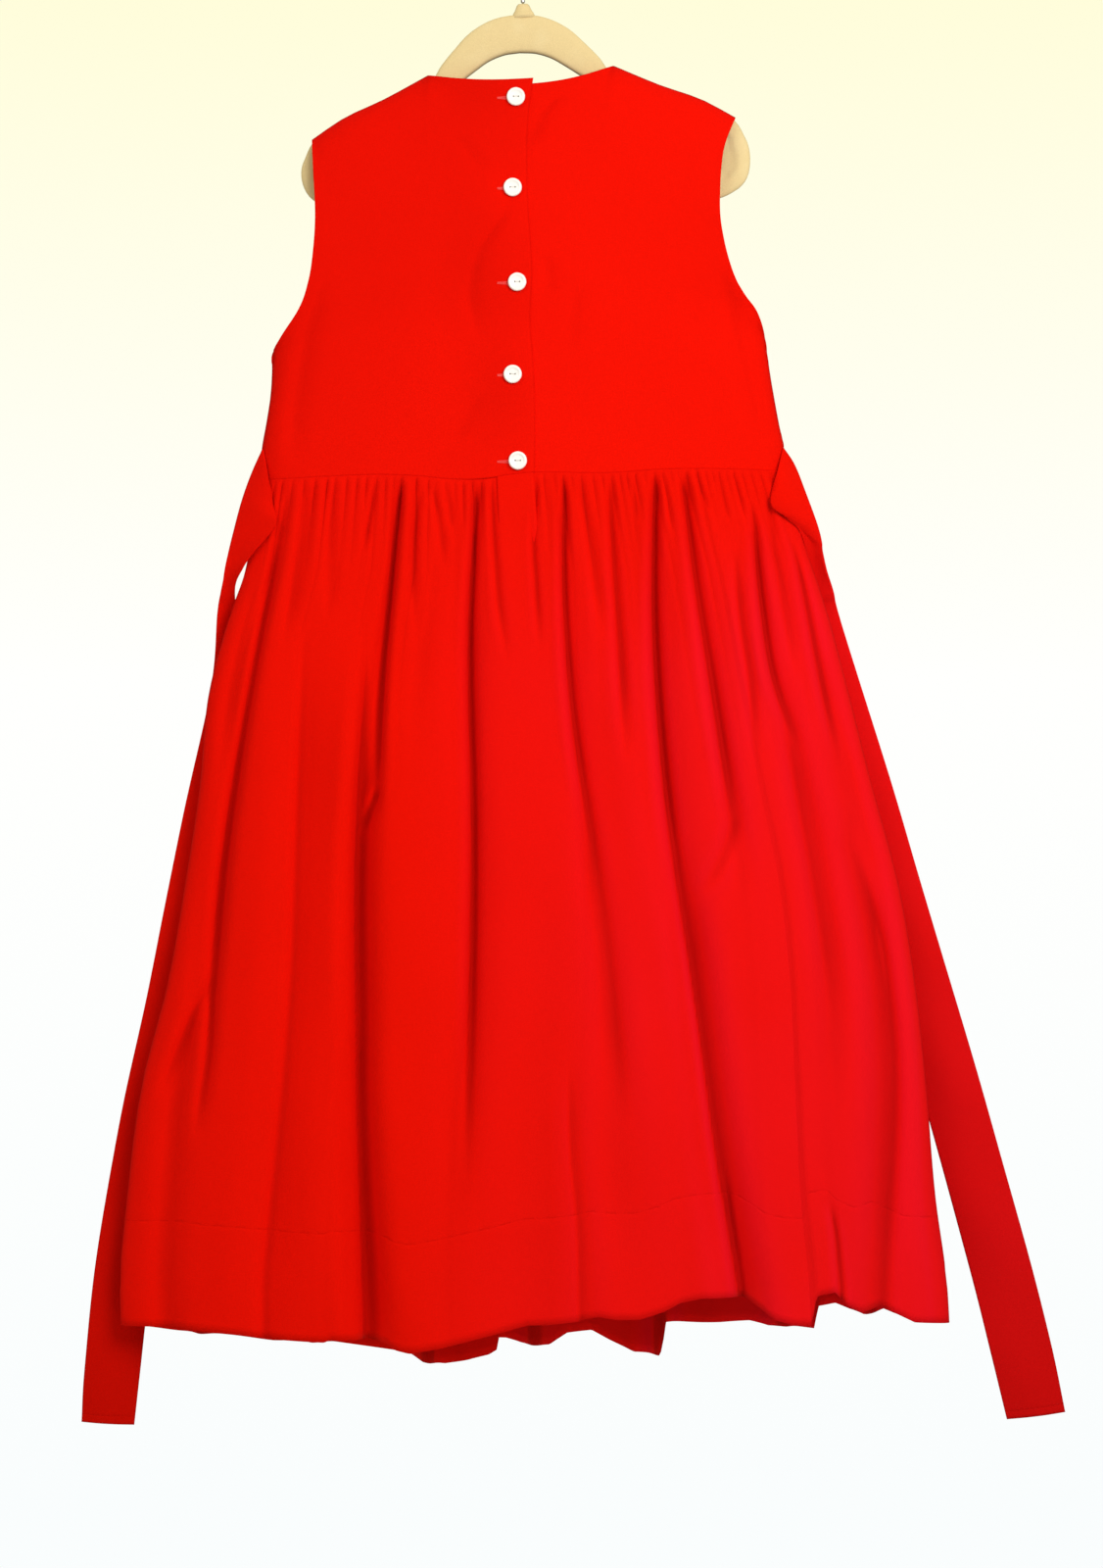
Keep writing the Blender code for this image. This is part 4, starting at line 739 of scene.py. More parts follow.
def cotton(name, hem=0.0, stitch_rows=(), low_shade=0.0, lap_shaded=False):
    """Plain-woven cotton with slubs, a soft nap and, on a skirt, the stitches that hold its hem, with
    painted shade and painted sheen mixed into its red.
    """
    sizes, colours = bpy.context.scene.dress_sizes, bpy.context.scene.dress_colours
    paint = Paint(bpy.data.materials.new(name))
    across, along, flat = paint.cut_map()
    turn = 2 * math.pi / sizes.thread_pitch
    warp, weft = (across * turn).sine(), (along * turn).sine()
    weave = warp * weft
    slub = paint.noise(paint.mapped(flat, (160.0, 2600.0, 1.0)), 1.0) * 0.5
    slub = slub + paint.noise(paint.mapped(flat, (2600.0, 160.0, 1.0)), 1.0) * 0.5
    mottle = paint.noise(flat, 900.0, detail=3.0)
    drift = paint.noise(flat, 7.0, detail=2.0)
    place = paint.place()
    broad = paint.noise(place, 3.2, detail=1.0)
    from_left, _, up = paint.parts(place)
    # Painted sheen: a cooler, pinker red is painted over the lower right of the skirt, where cool light and
    # sheen would show
    painted_sheen_reach = (from_left * 4.5 + 0.35).least(0.0) * ((up + 0.365) * -9.0).least(0.0).most(1.0)
    height = weave * 0.45 + slub * 1.5 + mottle * 0.8
    threads = slub * 0.7 + mottle * 0.5 + weave * 0.12
    dark = paint.mix(threads, rgba(colours.cotton, 0.80), rgba(colours.cotton, 1.16))
    hollow = paint.hollow()
    # Painted highlight: crests take more of the painted sheen
    crest = (hollow * -1.0).least(0.0)
    painted_sheen = painted_sheen_reach.most(1.0) * (0.25 + broad * 0.5 + (drift - 0.5) * 0.6 + crest * 0.9)
    colour = paint.mix(painted_sheen, dark, rgba(colours.painted_sheen_red))
    # Painted shade: the deeper a hollow, the darker the red
    colour = paint.mix(hollow.least(0.0) * 0.45, colour, rgba(colours.cotton, 0.30))
    if lap_shaded:
        # Painted shade: the upper back panel is coloured darker beside the button lap and in broad soft
        # patches
        strip = (from_left + 0.020).bell(0.026) * ((from_left - LAP_EDGE_X) * -900.0).least(0.0).most(1.0)
        patch = (paint.noise(place, 14.0, detail=1.0) - 0.25) * strip + ((broad - 0.55) * 1.4).least(0.0)
        colour = paint.mix(patch.least(0.0) * 0.42, colour, rgba(colours.cotton, 0.42))
    if low_shade:
        # Painted shade: the cloth is coloured darker toward its lower end
        lower = ((up + 0.42) * -1.7).least(0.0).most(1.0)
        colour = paint.mix(lower * low_shade, colour, rgba(colours.cotton, 0.30))
    rows = [(hem, 0.012)] if hem else []
    for place_v, length in rows + list(stitch_rows):
        near = (along - place_v).bell(0.0007)
        dash = (across * (2 * math.pi / length)).sine().over(0.15)
        height = height - near * (1.6 + dash * 2.0)
        # Painted shade: each stitched line is coloured a little darker along its groove, more at each
        # stitch
        colour = paint.mix(near * (0.03 + dash * 0.04), colour, rgba(colours.cotton, 0.55))
    paint.set(
        Base_Color=colour,
        Roughness=0.74 + (slub - 0.5) * 0.2,
        Normal=paint.bump(height, 0.00016, 0.75),
        Specular_IOR_Level=0.02,
        Sheen_Weight=0.02,
        Sheen_Roughness=0.45,
        Sheen_Tint=(1.0, 0.16, 0.22, 1.0),
    )
    return paint.owner


def sewing_thread(name, colour):
    """Two-ply thread with its twist."""
    paint = Paint(bpy.data.materials.new(name))
    place = paint.place()
    fibre = paint.noise(place, 2600.0, detail=2.0)
    twist = paint.add(
        "ShaderNodeTexWave",
        {"wave_type": "BANDS", "bands_direction": "DIAGONAL"},
        {"Vector": place, "Scale": 700.0, "Distortion": 1.2},
        output=1,
    )
    paint.set(
        Base_Color=paint.mix(twist * 0.5 + fibre * 0.4, rgba(colour, 0.7), rgba(colour, 1.15)),
        Roughness=0.5 + fibre * 0.2,
        Normal=paint.bump(twist + fibre * 0.4, 0.00012, 0.8),
        Specular_IOR_Level=0.2,
    )
    return paint.owner


def pearl_plastic():
    """Pearly button plastic, clouded, with a painted pinkish sheen and two thread holes painted as dark
    discs of shade by the button's own map.
    """
    colours = bpy.context.scene.dress_colours
    paint = Paint(bpy.data.materials.new("pearl_plastic"))
    across, along, flat = paint.cut_map()
    cloud = paint.noise(paint.mapped(flat, (1.3, 2.6, 1.0)), 1.4, detail=3.0, roughness=0.6)
    pearl_sheen = paint.noise(flat, 2.1, detail=1.0)
    body = paint.mix(cloud, rgba((0.74, 0.74, 0.74)), rgba(colours.pearl, 1.06))
    # Painted sheen: pinkish patches stand for the nacre's reflections
    body = paint.mix((pearl_sheen - 0.45) * 1.6, body, (0.93, 0.80, 0.80, 1.0))
    # Painted shade: two dark discs stand for the thread holes, which are not cut
    holes = 0.0
    for side in (-0.26, 0.26):
        away = (across - side) * (across - side) + along * along
        holes = holes + (0.0080 - away).over(0.0)
    paint.set(
        Base_Color=paint.mix(holes, body, (0.05, 0.035, 0.03, 1.0)),
        Roughness=0.16 + cloud * 0.16,
        Coat_Weight=0.5,
        Coat_Roughness=0.06,
        Specular_IOR_Level=0.5,
    )
    return paint.owner


def beige_flock():
    """Short beige flocking over a moulded core, brushed a little bare in random patches, with painted shade
    on the arch's downward faces.
    """
    colours = bpy.context.scene.dress_colours
    paint = Paint(bpy.data.materials.new("beige_flock"))
    place = paint.place()
    nap = paint.noise(place, 2200.0, detail=2.0, roughness=0.7)
    lay = paint.noise(place, 60.0, detail=3.0)
    colour = paint.mix(nap, rgba(colours.flock, 0.78), rgba(colours.flock, 1.16))
    colour = paint.mix((lay - 0.5) * 0.9, colour, rgba((0.80, 0.68, 0.42)))
    # Painted shade: the flock is coloured darker where the hollow map marks the arch's downward faces
    colour = paint.mix(paint.hollow() * 1.25, colour, rgba(colours.flock, 0.16))
    paint.set(
        Base_Color=colour,
        Roughness=0.92 + nap * 0.06,
        Normal=paint.bump(nap + lay * 0.6, 0.00030, 0.7),
        Specular_IOR_Level=0.15,
        Sheen_Weight=0.25,
        Sheen_Roughness=0.5,
        Sheen_Tint=(1.0, 0.93, 0.76, 1.0),
    )
    return paint.owner


def hook_steel():
    """Drawn steel wire with fine lengthwise marks and a little tarnish."""
    colours = bpy.context.scene.dress_colours
    paint = Paint(bpy.data.materials.new("hook_steel"))
    flat = paint.cut_map()[2]
    drawn = paint.noise(paint.mapped(flat, (5200.0, 90.0, 1.0)), 1.0, detail=2.0)
    tarnish = paint.noise(flat, 130.0, detail=3.0)
    paint.set(
        Base_Color=paint.mix(tarnish, rgba(colours.steel, 0.72), rgba(colours.steel, 1.1)),
        Metallic=1.0,
        Roughness=0.24 + drawn * 0.2,
        Normal=paint.bump(drawn, 0.00004, 0.5),
    )
    return paint.owner


def pale_floor():
    """Matt studio floor with the faintest mottling."""
    colours = bpy.context.scene.dress_colours
    paint = Paint(bpy.data.materials.new("pale_floor"))
    place = paint.place()
    speck = paint.noise(place, 14.0, detail=4.0)
    paint.set(
        Base_Color=paint.mix(speck, rgba(colours.floor, 0.97), rgba(colours.floor, 1.03)),
        Roughness=0.85,
    )
    return paint.owner


# Bodice
def shoulder_points(side, count=9):
    """The shoulder ridge on one side, from the tip (first) to the neck."""
    x = np.linspace(SHOULDER[-1].x, SHOULDER[0].x, count)
    return np.stack(photo_frame(side * x, read(SHOULDER, "x", "z", x)), axis=-1)


def distance(points, line):
    """How far points in the XZ plane are from a polyline."""
    best = np.full(points.shape[:-1], np.inf)
    for a, b in zip(line[:-1], line[1:]):
        along = b - a
        t = np.clip(((points - a) @ along) / (along @ along), 0.0, 1.0)
        away = points - a - t[..., None] * along
        best = np.minimum(best, np.hypot(away[..., 0], away[..., 1]))
    return best


def closing(away, radius):
    """Half the depth between two panels, at a distance from the seam that joins them."""
    return np.sqrt(2 * radius * away + (SIDE_SLOPE * away) ** 2)


def soft_least(values):
    """The least of several depths, with the corners between them rounded."""
    total = sum((v + 1e-6) ** -CLOSE_POWER for v in values)
    return total ** (-1 / CLOSE_POWER)


def side_curve(side, share, cut_in):
    """A side seam and armhole, with the armhole cut further in by cut_in."""
    left, right = shoulder_points(-1)[0], shoulder_points(1)[0]
    table = BODICE_SIDES + (Side(1.0, left[0], left[1], right[0], right[1]),)
    x = read(table, "share", side + "_x", share)
    z = read(table, "share", side + "_z", share)
    hollow = ramp(share, UNDERARM_SHARE, 0.6) * (1 - ramp(share, 0.8, 1.0))
    inward = 1.0 if side == "left" else -1.0
    return np.stack([x + inward * cut_in * hollow, z], axis=-1)


def waist_x(share):
    ends = BODICE_SIDES[0]
    return ends.left_x + (ends.right_x - ends.left_x) * np.asarray(share)


def waist_line(share):
    """Height of a straight waist at a share of the width."""
    ends = BODICE_SIDES[0]
    return ends.left_z + (ends.right_z - ends.left_z) * np.asarray(share)


def waist_z(share):
    """Height of the waist seam, which dips where the cloth sags between its stitches."""
    return waist_line(share) + read(WAIST_DIPS, "x", "z", waist_x(share))


def share_of_x(x):
    """Share of the bodice's width at an x on the waist seam."""
    ends = BODICE_SIDES[0]
    return (x - ends.left_x) / (ends.right_x - ends.left_x)


def top_curve(share, drop):
    """The top edge from the left shoulder tip, along the neck, to the right shoulder tip."""
    left, right = shoulder_points(-1), shoulder_points(1)[::-1]
    span = right[-1][0] - left[0][0]
    left_share, right_share = (left[-1][0] - left[0][0]) / span, (right[0][0] - left[0][0]) / span
    x = left[0][0] + span * share
    neck = np.clip((share - left_share) / (right_share - left_share), 0.0, 1.0)
    chord = left[-1][1] + (right[0][1] - left[-1][1]) * neck
    z = chord - drop * (1 - np.abs(2 * neck - 1) ** NECK_POWER)
    z = np.where(share < left_share, np.interp(x, left[:, 0], left[:, 1]), z)
    z = np.where(share > right_share, np.interp(x, right[:, 0], right[:, 1]), z)
    return np.stack([x, z], axis=-1)


def bodice_plan(shares, heights, drop, cut_in):
    """XZ places of a bodice panel's grid, blended from its four edges."""
    left = side_curve("left", heights, cut_in)[:, None, :]
    right = side_curve("right", heights, cut_in)[:, None, :]
    low = np.stack([waist_x(shares), waist_z(shares)], axis=-1)[None]
    high = top_curve(shares, drop)[None]
    tips = top_curve(np.array([0.0, 1.0]), drop)
    straight = np.stack([waist_x(shares), waist_line(shares)], axis=-1)[None]
    s, t = shares[None, :, None], heights[:, None, None]
    corners = (1 - t) * straight + t * ((1 - s) * tips[0] + s * tips[1])
    return (1 - s) * left + s * right + (1 - t) * low + t * high - corners


def bodice_half_depth(plan):
    """Half the depth between the bodice's front and back at XZ places."""
    seam = np.linspace(0.0, UNDERARM_SHARE, 9)
    lines = [side_curve("left", seam, 0.0), side_curve("right", seam, 0.0)]
    depths = [closing(distance(plan, line), SIDE_ROUND) for line in lines]
    depths += [closing(distance(plan, shoulder_points(s)), SHOULDER_ROUND) for s in (-1, 1)]
    depths.append(np.full(plan.shape[:-1], BODICE_DEPTH))
    return soft_least(depths) + SEAM_GAP / 2


def crease_depth(x, z, table, top_free=SKIRT_TOP_FREE, low_free=SKIRT_LOW_FREE):
    """How far the creases press the cloth in, at places across a panel."""
    pressed = np.zeros(x.shape)
    for crease in table:
        heights = (crease.end_z, crease.lower_z, crease.upper_z, crease.top_z)
        places = (crease.end_x, crease.lower_x, crease.upper_x, crease.top_x)
        t = (crease.top_z - z) / (crease.top_z - crease.end_z)
        near = np.ones(x.shape)
        if crease.top_z < top_free:
            near = near * ramp(t, *CREASE_START)
        if crease.end_z > low_free:
            near = near * (1.0 - ramp(t, *CREASE_END))
        u = (x - smooth(heights, places, z)) / (crease.half * (0.85 + 0.3 * np.clip(t, 0, 1)))
        width = np.where(u < 0, 1.0 - crease.lean, 1.0 + crease.lean)
        steep = 1.0 if crease.lean >= 0 else -1.0
        lip = LIP_SHARE * np.exp(-(((u + steep * LIP_REACH) / LIP_WIDTH) ** 2))
        pressed += crease.depth * near * (np.exp(-((u / width) ** 2)) - lip)
    return pressed


def bodice_creases(x, z):
    return crease_depth(x, z, CREASES_BODICE, BODICE_TOP_FREE, BODICE_LOW_FREE)


def ripple(x, z):
    """The slight unevenness of pressed cotton that has hung a while."""
    first = np.sin(47 * x + 21 * z + 1.3) * np.sin(31 * z - 17 * x)
    second = np.sin(93 * x - 38 * z) * np.sin(71 * z + 25 * x + 0.7)
    return RIPPLES[0] * first + RIPPLES[1] * second


def edge_share(shares, heights):
    """0 on a bodice panel's side seams and shoulders and 1 away from them."""
    side = np.minimum(shares, 1.0 - shares)[None, :]
    return ramp(side, 0.0, 0.04) * ramp(1.0 - heights, 0.0, 0.05)[:, None]


def bodice_points(shares, heights, toward, drop, cut_in, lift=None, relief=None):
    """The middle points of a bodice panel's cloth."""
    plan = bodice_plan(shares, heights, drop, cut_in)
    x, z = plan[..., 0], plan[..., 1]
    kept = edge_share(shares, heights)
    depth = bodice_half_depth(plan)
    if toward == BACK:
        depth = depth - kept * bodice_creases(x, z)
    depth = depth + kept * ripple(x, z)
    if lift:
        depth = depth + lift(plan)
    if relief:
        depth = depth + kept * relief(x, z)
    return np.stack([x, toward * np.maximum(depth, LEAST_DEPTH), z], axis=-1)


def lap_lift(plan):
    """How far the upper lap stands off the base form, to lie on the lower one."""
    return LAP_LIFT * ramp(plan[..., 0], UNDERLAP_X - LAP_RAMP, UNDERLAP_X - 0.004)


def seam_rows(count):
    """Shares of a bodice's height, crowded at the waist and the shoulders."""
    t = np.linspace(0.0, 1.0, count)
    return t - 0.055 * np.sin(2 * math.pi * t)


def smock_path(row, x):
    """Height of a row of smocking at x."""
    swing = np.abs(np.mod(x / DIAMOND + 0.5, 2.0) - 1.0) * 2.0 - 1.0
    return row.z + row.turn * row.swing * swing


def smocked(x, z):
    """Pleats that the rows of stitches draw together and that puff between them."""
    sizes = bpy.context.scene.dress_sizes
    held = np.zeros(x.shape)
    for row in SMOCK_ROWS:
        held = np.maximum(held, np.exp(-(((z - smock_path(row, x)) / STITCH_HOLD) ** 2)))
    pleat = np.abs(np.cos(math.pi * x / sizes.pleat)) ** 0.8 - 0.55
    across = 1.0 - ramp(np.abs(x), 0.098, 0.108)
    down = ramp(z, SMOCK_FOOT, -0.336) * (1.0 - ramp(z, -0.160, SMOCK_TOP))
    below = ramp(-z, 0.330, 0.3345) * 0.35
    puff = (1.0 - held) * 0.0007
    raised = sizes.pleat_height * (1.0 - 0.35 * held) * pleat + puff
    return across * (down * raised + below * 0.0004 * pleat)


# Skirt
def skirt_plan(shares, drops, hem):
    """XZ places of a skirt panel's grid."""
    top = waist_z(shares)[None, :]
    low = np.interp(shares, column(hem, "share"), column(hem, "z"))[None, :]
    z = top * (1 - drops[:, None]) + low * drops[:, None]
    left = read(SKIRT_SIDES[::-1], "z", "left_x", z[:, :1])
    right = read(SKIRT_SIDES[::-1], "z", "right_x", z[:, -1:])
    return np.stack([left + (right - left) * shares[None, :], z], axis=-1)


def skirt_half_depth(plan, drops, full):
    """Depth of the skirt's smooth base form on one side of its side seams."""
    heights = np.linspace(SKIRT_SIDES[0].z, SKIRT_SIDES[-1].z, 24)
    lines = [
        np.stack([read(SKIRT_SIDES[::-1], "z", name, heights), heights], axis=-1)
        for name in ("left_x", "right_x")
    ]
    depths = [closing(distance(plan, line), SIDE_ROUND) for line in lines]
    swell = ramp(drops, -0.02, 0.9)[:, None] ** SWELL_POWER
    depths.append(BODICE_DEPTH + (full - BODICE_DEPTH) * swell + np.zeros(plan.shape[:-1]))
    return soft_least(depths) + SEAM_GAP / 2


def puffs(shares, drops, valleys, reaches):
    """Rounded gathers between valleys, each fading down the skirt at its own length."""
    puff = bpy.context.scene.dress_sizes.puff
    x = waist_x(shares)
    i = np.clip(np.searchsorted(valleys, x) - 1, 0, len(valleys) - 2)
    width = valleys[i + 1] - valleys[i]
    u = np.clip((x - valleys[i]) / width, 0.0, 1.0)
    bulge = np.minimum(width, WIDEST_PUFF) * puff * (np.sin(math.pi * u) ** 0.65 - 0.6)
    bulge *= 0.45 + 0.9 * uneven(i * 3.1 + 0.4)
    reach = reaches[i] * (1 - u) + reaches[i + 1] * u
    below = (drops * (WAIST_Z - HEM_Z))[:, None]
    grow = 0.55 + 0.45 * ramp(below, 0.0, 0.008)
    fade = np.exp(-((below / reach[None, :]) ** 1.4))
    soft = 0.18 * np.exp(-((below / (2.6 * reach[None, :])) ** 1.6))
    outside = (x <= valleys[0]) | (x >= valleys[-1])
    return grow * (fade + soft) * np.where(outside, 0.0, bulge)[None, :]


def folds(plan, shares, drops, table):
    """Depth pressed into a panel by its large folds."""
    pressed = np.zeros(plan.shape[:-1])
    width = plan[:, -1:, 0] - plan[:, :1, 0]
    for fold in table:
        t = drops
        path = fold.waist * (1 - t) * (1 - 2 * t) + fold.middle * 4 * t * (1 - t)
        path = path + fold.hem * t * (2 * t - 1)
        across = (shares[None, :] - path[:, None]) * width
        grow = ramp(t, fold.start, fold.start + FOLD_GROWTH)
        fade = 1.0
        if fold.end < 1.0:
            fade = 1.0 - ramp(t, fold.end - FOLD_FADE, fold.end + FOLD_FADE / 2)
        spread = fold.half_width * (0.75 + 0.5 * t)[:, None]
        pressed += fold.depth * (grow * fade)[:, None] * np.exp(-((across / spread) ** 2))
    return pressed


def in_placket(shares):
    """1 on the flat strip below the buttons and 0 on the gathered cloth beside it."""
    begun = ramp(shares, PLACKET_FROM - PLACKET_EDGE, PLACKET_FROM)
    return begun * ramp(-shares, -PLACKET_TO - PLACKET_EDGE, -PLACKET_TO)


def skirt_points(shares, drops, hem, toward, full, gathered, fold_table, creases, fold_share):
    """The middle points of a skirt panel's cloth."""
    strength = bpy.context.scene.dress_sizes.crease
    plan = skirt_plan(shares, drops, hem)
    x, z = plan[..., 0], plan[..., 1]
    base = skirt_half_depth(plan, drops, full)
    side = np.minimum(shares, 1.0 - shares)
    kept = ramp(side, 0.0, SKIRT_EDGE_SHARE)[None, :]
    pressed = fold_share * folds(plan, shares, drops, fold_table) + crease_depth(x, z, creases)
    below = (drops * (WAIST_Z - HEM_Z))[:, None]
    sewn = ramp(below, 0.0, WAIST_SEWN)
    begun = ramp(below, *FOLDS_BEGIN)
    depth = base + kept * (sewn * gathered - begun * strength * pressed + ripple(x, z))
    depth = np.maximum(depth, np.minimum(base, SEAM_KEEP))
    depth[:, [0, -1]] = LEAST_DEPTH
    return np.stack([x, toward * depth, z], axis=-1)


def skirt_stations(count):
    """Shares of a skirt's width, crowded at its side seams."""
    edge = graded(0.0, SKIRT_CROWDED_SHARE, 9, 1.8)
    middle = np.linspace(SKIRT_CROWDED_SHARE, 1.0 - SKIRT_CROWDED_SHARE, count - 18)
    return join(edge, middle, 1.0 - edge[::-1])


def skirt_drops(rows):
    return (np.arange(rows + 1) / rows) ** 1.3


def back_skirt_grid(shares, drops, plain=False):
    """The skirt back's cloth at any shares and drops, with or without its gathers and creases."""
    gathered, creases = 0.0, ()
    if not plain:
        valleys, reaches = column(GATHERS_BACK, "x"), column(GATHERS_BACK, "reach")
        gathered = puffs(shares, drops, valleys, reaches) * (1.0 - in_placket(shares))[None, :]
        creases = CREASES_BACK
    args = (HEM_BACK, BACK, SKIRT_DEPTH_BACK, gathered, FOLDS_BACK, creases, BACK_FOLD_SHARE)
    return skirt_points(shares, drops, *args)


def front_skirt_grid(shares, drops):
    places = np.linspace(0.012, 0.988, GATHERS_FRONT)
    number = np.arange(GATHERS_FRONT)
    places = places + (uneven(number) - 0.5) * 0.010
    valleys, reaches = waist_x(places), 0.014 + 0.050 * uneven(number + 7.3) ** 2
    gathered = puffs(shares, drops, valleys, reaches)
    args = (HEM_FRONT, FRONT, SKIRT_DEPTH_FRONT, gathered, FOLDS_FRONT, CREASES_FRONT, FRONT_FOLD_SHARE)
    return skirt_points(shares, drops, *args)


# Sash
def sash_points(table, rows, columns):
    """A tie from its root in the side seam, past one soft fold, to its free end."""
    across = np.linspace(0.0, 1.0, columns)[None, :]
    stations = np.arange(len(table), dtype=float)
    at = np.linspace(0.0, len(table) - 1.0, rows)
    value = {key: smooth(stations, column(table, key), at)[:, None] for key in SashRow._fields}
    x = value["out_x"] + (value["in_x"] - value["out_x"]) * across
    z = value["out_z"] + (value["in_z"] - value["out_z"]) * across
    y = value["out_y"] + (value["in_y"] - value["out_y"]) * across
    hang = ramp(at, TIE_FREE_ROW, TIE_FREE_ROW + 2)[:, None]
    wave = 0.0011 * np.sin(24.0 * z + 2.0 * across) + 0.0006 * np.sin(61.0 * z - 3.0 * across)
    y = y + value["fold"] * np.sin(math.pi * across) + hang * wave
    return np.stack([x, y, z], axis=-1)


# Buttons and buttonholes
def back_surface_y(x, z):
    """The outer face of the upper back panel at a place."""
    plan = np.stack([x, z], axis=-1)
    depth = bodice_half_depth(plan) - bodice_creases(x, z) + ripple(x, z) + lap_lift(plan)
    return -depth - bpy.context.scene.dress_sizes.cloth / 2


def button_face():
    """Radius and depth along a button from its back's middle, round its rim, to its dished face."""
    r, t = BUTTON_RADIUS, BUTTON_THICK
    return (
        (0.0, 0.0), (0.60 * r, 0.0), (0.84 * r, 0.06 * t), (0.96 * r, 0.24 * t), (1.0 * r, 0.45 * t),
        (0.985 * r, 0.66 * t), (0.94 * r, 0.83 * t), (0.86 * r, 0.94 * t), (0.77 * r, 0.95 * t),
        (0.70 * r, 0.88 * t), (0.64 * r, 0.78 * t), (0.50 * r, 0.71 * t), (0.25 * r, 0.68 * t),
        (0.0, 0.68 * t),
    )


def turned(name, profile, steps, centre, finish, map_radius=None):
    """A round piece turned about the Y axis from a profile of radius and depth, facing -Y."""
    bm = bmesh.new()
    verts = [bm.verts.new((radius, -depth, 0.0)) for radius, depth in profile]
    edges = [bm.edges.new(pair) for pair in zip(verts[:-1], verts[1:])]
    bmesh.ops.spin(
        bm, geom=verts + edges, cent=(0.0, 0.0, 0.0), axis=(0.0, 1.0, 0.0),
        angle=2 * math.pi, steps=steps, use_merge=True,
    )
    bmesh.ops.remove_doubles(bm, verts=bm.verts, dist=1e-6)
    bmesh.ops.recalc_face_normals(bm, faces=bm.faces)
    if map_radius:
        layer = bm.loops.layers.uv.new("cut")
        for face in bm.faces:
            for loop in face.loops:
                loop[layer].uv = (loop.vert.co.x / map_radius, loop.vert.co.z / map_radius)
    bmesh.ops.translate(bm, verts=bm.verts, vec=centre)
    return new_object(name, mesh_of(bm, name), finish)


class Stitches:
    """Raised stitches laid one by one, each a small pointed bead."""

    def __init__(self, name):
        self.name = name
        self.sewn = bmesh.new()
        bead = bmesh.new()
        bmesh.ops.create_uvsphere(bead, u_segments=6, v_segments=4, radius=0.5)
        self.bead = mesh_of(bead, name + "_bead")

    def add(self, centre, along, outward, length, width):
        along = Vector(along).normalized()
        outward = Vector(outward).normalized()
        across = outward.cross(along).normalized()
        turn = Matrix((across * width, outward * width * 0.8, along * length)).transposed()
        one = self.bead.copy()
        one.transform(Matrix.Translation(centre) @ turn.to_4x4())
        self.sewn.from_mesh(one)
        bpy.data.meshes.remove(one)

    def piece(self, finish):
        bpy.data.meshes.remove(self.bead)
        new_object(self.name, mesh_of(self.sewn, self.name), finish)


# Hanger
def hanger_half():
    """Centre and height of the hanger's band at stations from the arch to the lower bar's middle."""
    rows = list(HANGER_ARCH)
    for x in np.linspace(SHOULDER[0].x, SHOULDER[-1].x - 0.003, 5):
        slope = (read(SHOULDER, "x", "z", x + 0.001) - read(SHOULDER, "x", "z", x - 0.001)) / 0.002
        down = (HANGER_CLEAR + ARM_BAND / 2) * math.hypot(1.0, slope)
        rows.append(Band(x, float(read(SHOULDER, "x", "z", x)) - down, ARM_BAND))
    return rows + list(HANGER_END)


def right_end_drop(band):
    """How much lower the right end and its half of the lower bar hang."""
    return RIGHT_END_DROP * float(ramp(band.x, 0.0, 0.12) * ramp(-band.z, 0.144, 0.165))


def hanger_points():
    half = hanger_half()
    loop = [Band(b.x, b.z - right_end_drop(b), b.height) for b in half]
    loop += [Band(-b.x, b.z, b.height) for b in half[-2::-1]]
    path = np.array([(b.x, b.z) for b in loop])
    along = np.concatenate([[0.0], np.cumsum(np.linalg.norm(np.diff(path, axis=0), axis=1))])
    at = np.linspace(0.0, along[-1], 361)
    fine = np.stack([smooth(along, path[:, 0], at), smooth(along, path[:, 1], at)], axis=-1)
    height = smooth(along, column(loop, "height"), at)
    side = left_of(fine[:-1], closed=True)
    side = np.concatenate([side, side[:1]])
    middle = np.stack(photo_frame(fine[:, 0], fine[:, 1]), axis=-1)
    side = np.stack(tilted(side[:, 0], side[:, 1]), axis=-1)
    thick = np.full(len(at), HANGER_THICK / 2)
    points = tube_points(middle, side, height / 2, thick, 48, power=0.72)
    outward = np.einsum("rcx,rx->rc", points[..., [0, 2]] - middle[:, None, :], side)
    pressed = ramp(height[:, None] / 2 - LOBE_RIM - outward, 0.0, 0.0010)
    points[..., 1] *= 1.0 - LOBE_THINNED * pressed * ramp(np.abs(fine[:, 0]), *LOBE_START)[:, None]
    return points


def hook_points():
    """Rings along the hook, from the stem's foot round to its rounded free tip."""
    foot = photo_frame(NECK_X, NECK_TOP_Z + SEAM_GAP)
    angles = np.radians(np.linspace(-58.0, 205.0, 17))
    radius = HOOK_RADIUS + HOOK_WIRE / 2
    arc = [(radius * math.cos(a), -HOOK_RADIUS + radius * math.sin(a)) for a in angles]
    rough = np.array([foot, (foot[0] * 0.8, foot[1] + 0.006), (0.001, arc[0][1] - 0.006)] + arc)
    along = np.concatenate([[0.0], np.cumsum(np.linalg.norm(np.diff(rough, axis=0), axis=1))])
    tip = HOOK_WIRE / 2
    ends = tip * (1 - np.cos(np.linspace(0.0, math.pi / 2, 6)))
    at = join(ends, np.linspace(ends[-1], along[-1] - tip, 120), along[-1] - ends[::-1])
    path = np.stack([smooth(along, rough[:, 0], at), smooth(along, rough[:, 1], at)], axis=-1)
    near = np.minimum(np.minimum(at, along[-1] - at), tip)
    half = np.sqrt(np.maximum(tip**2 - (tip - near) ** 2, 0.0))
    return tube_points(path, left_of(path), half, half, 16)


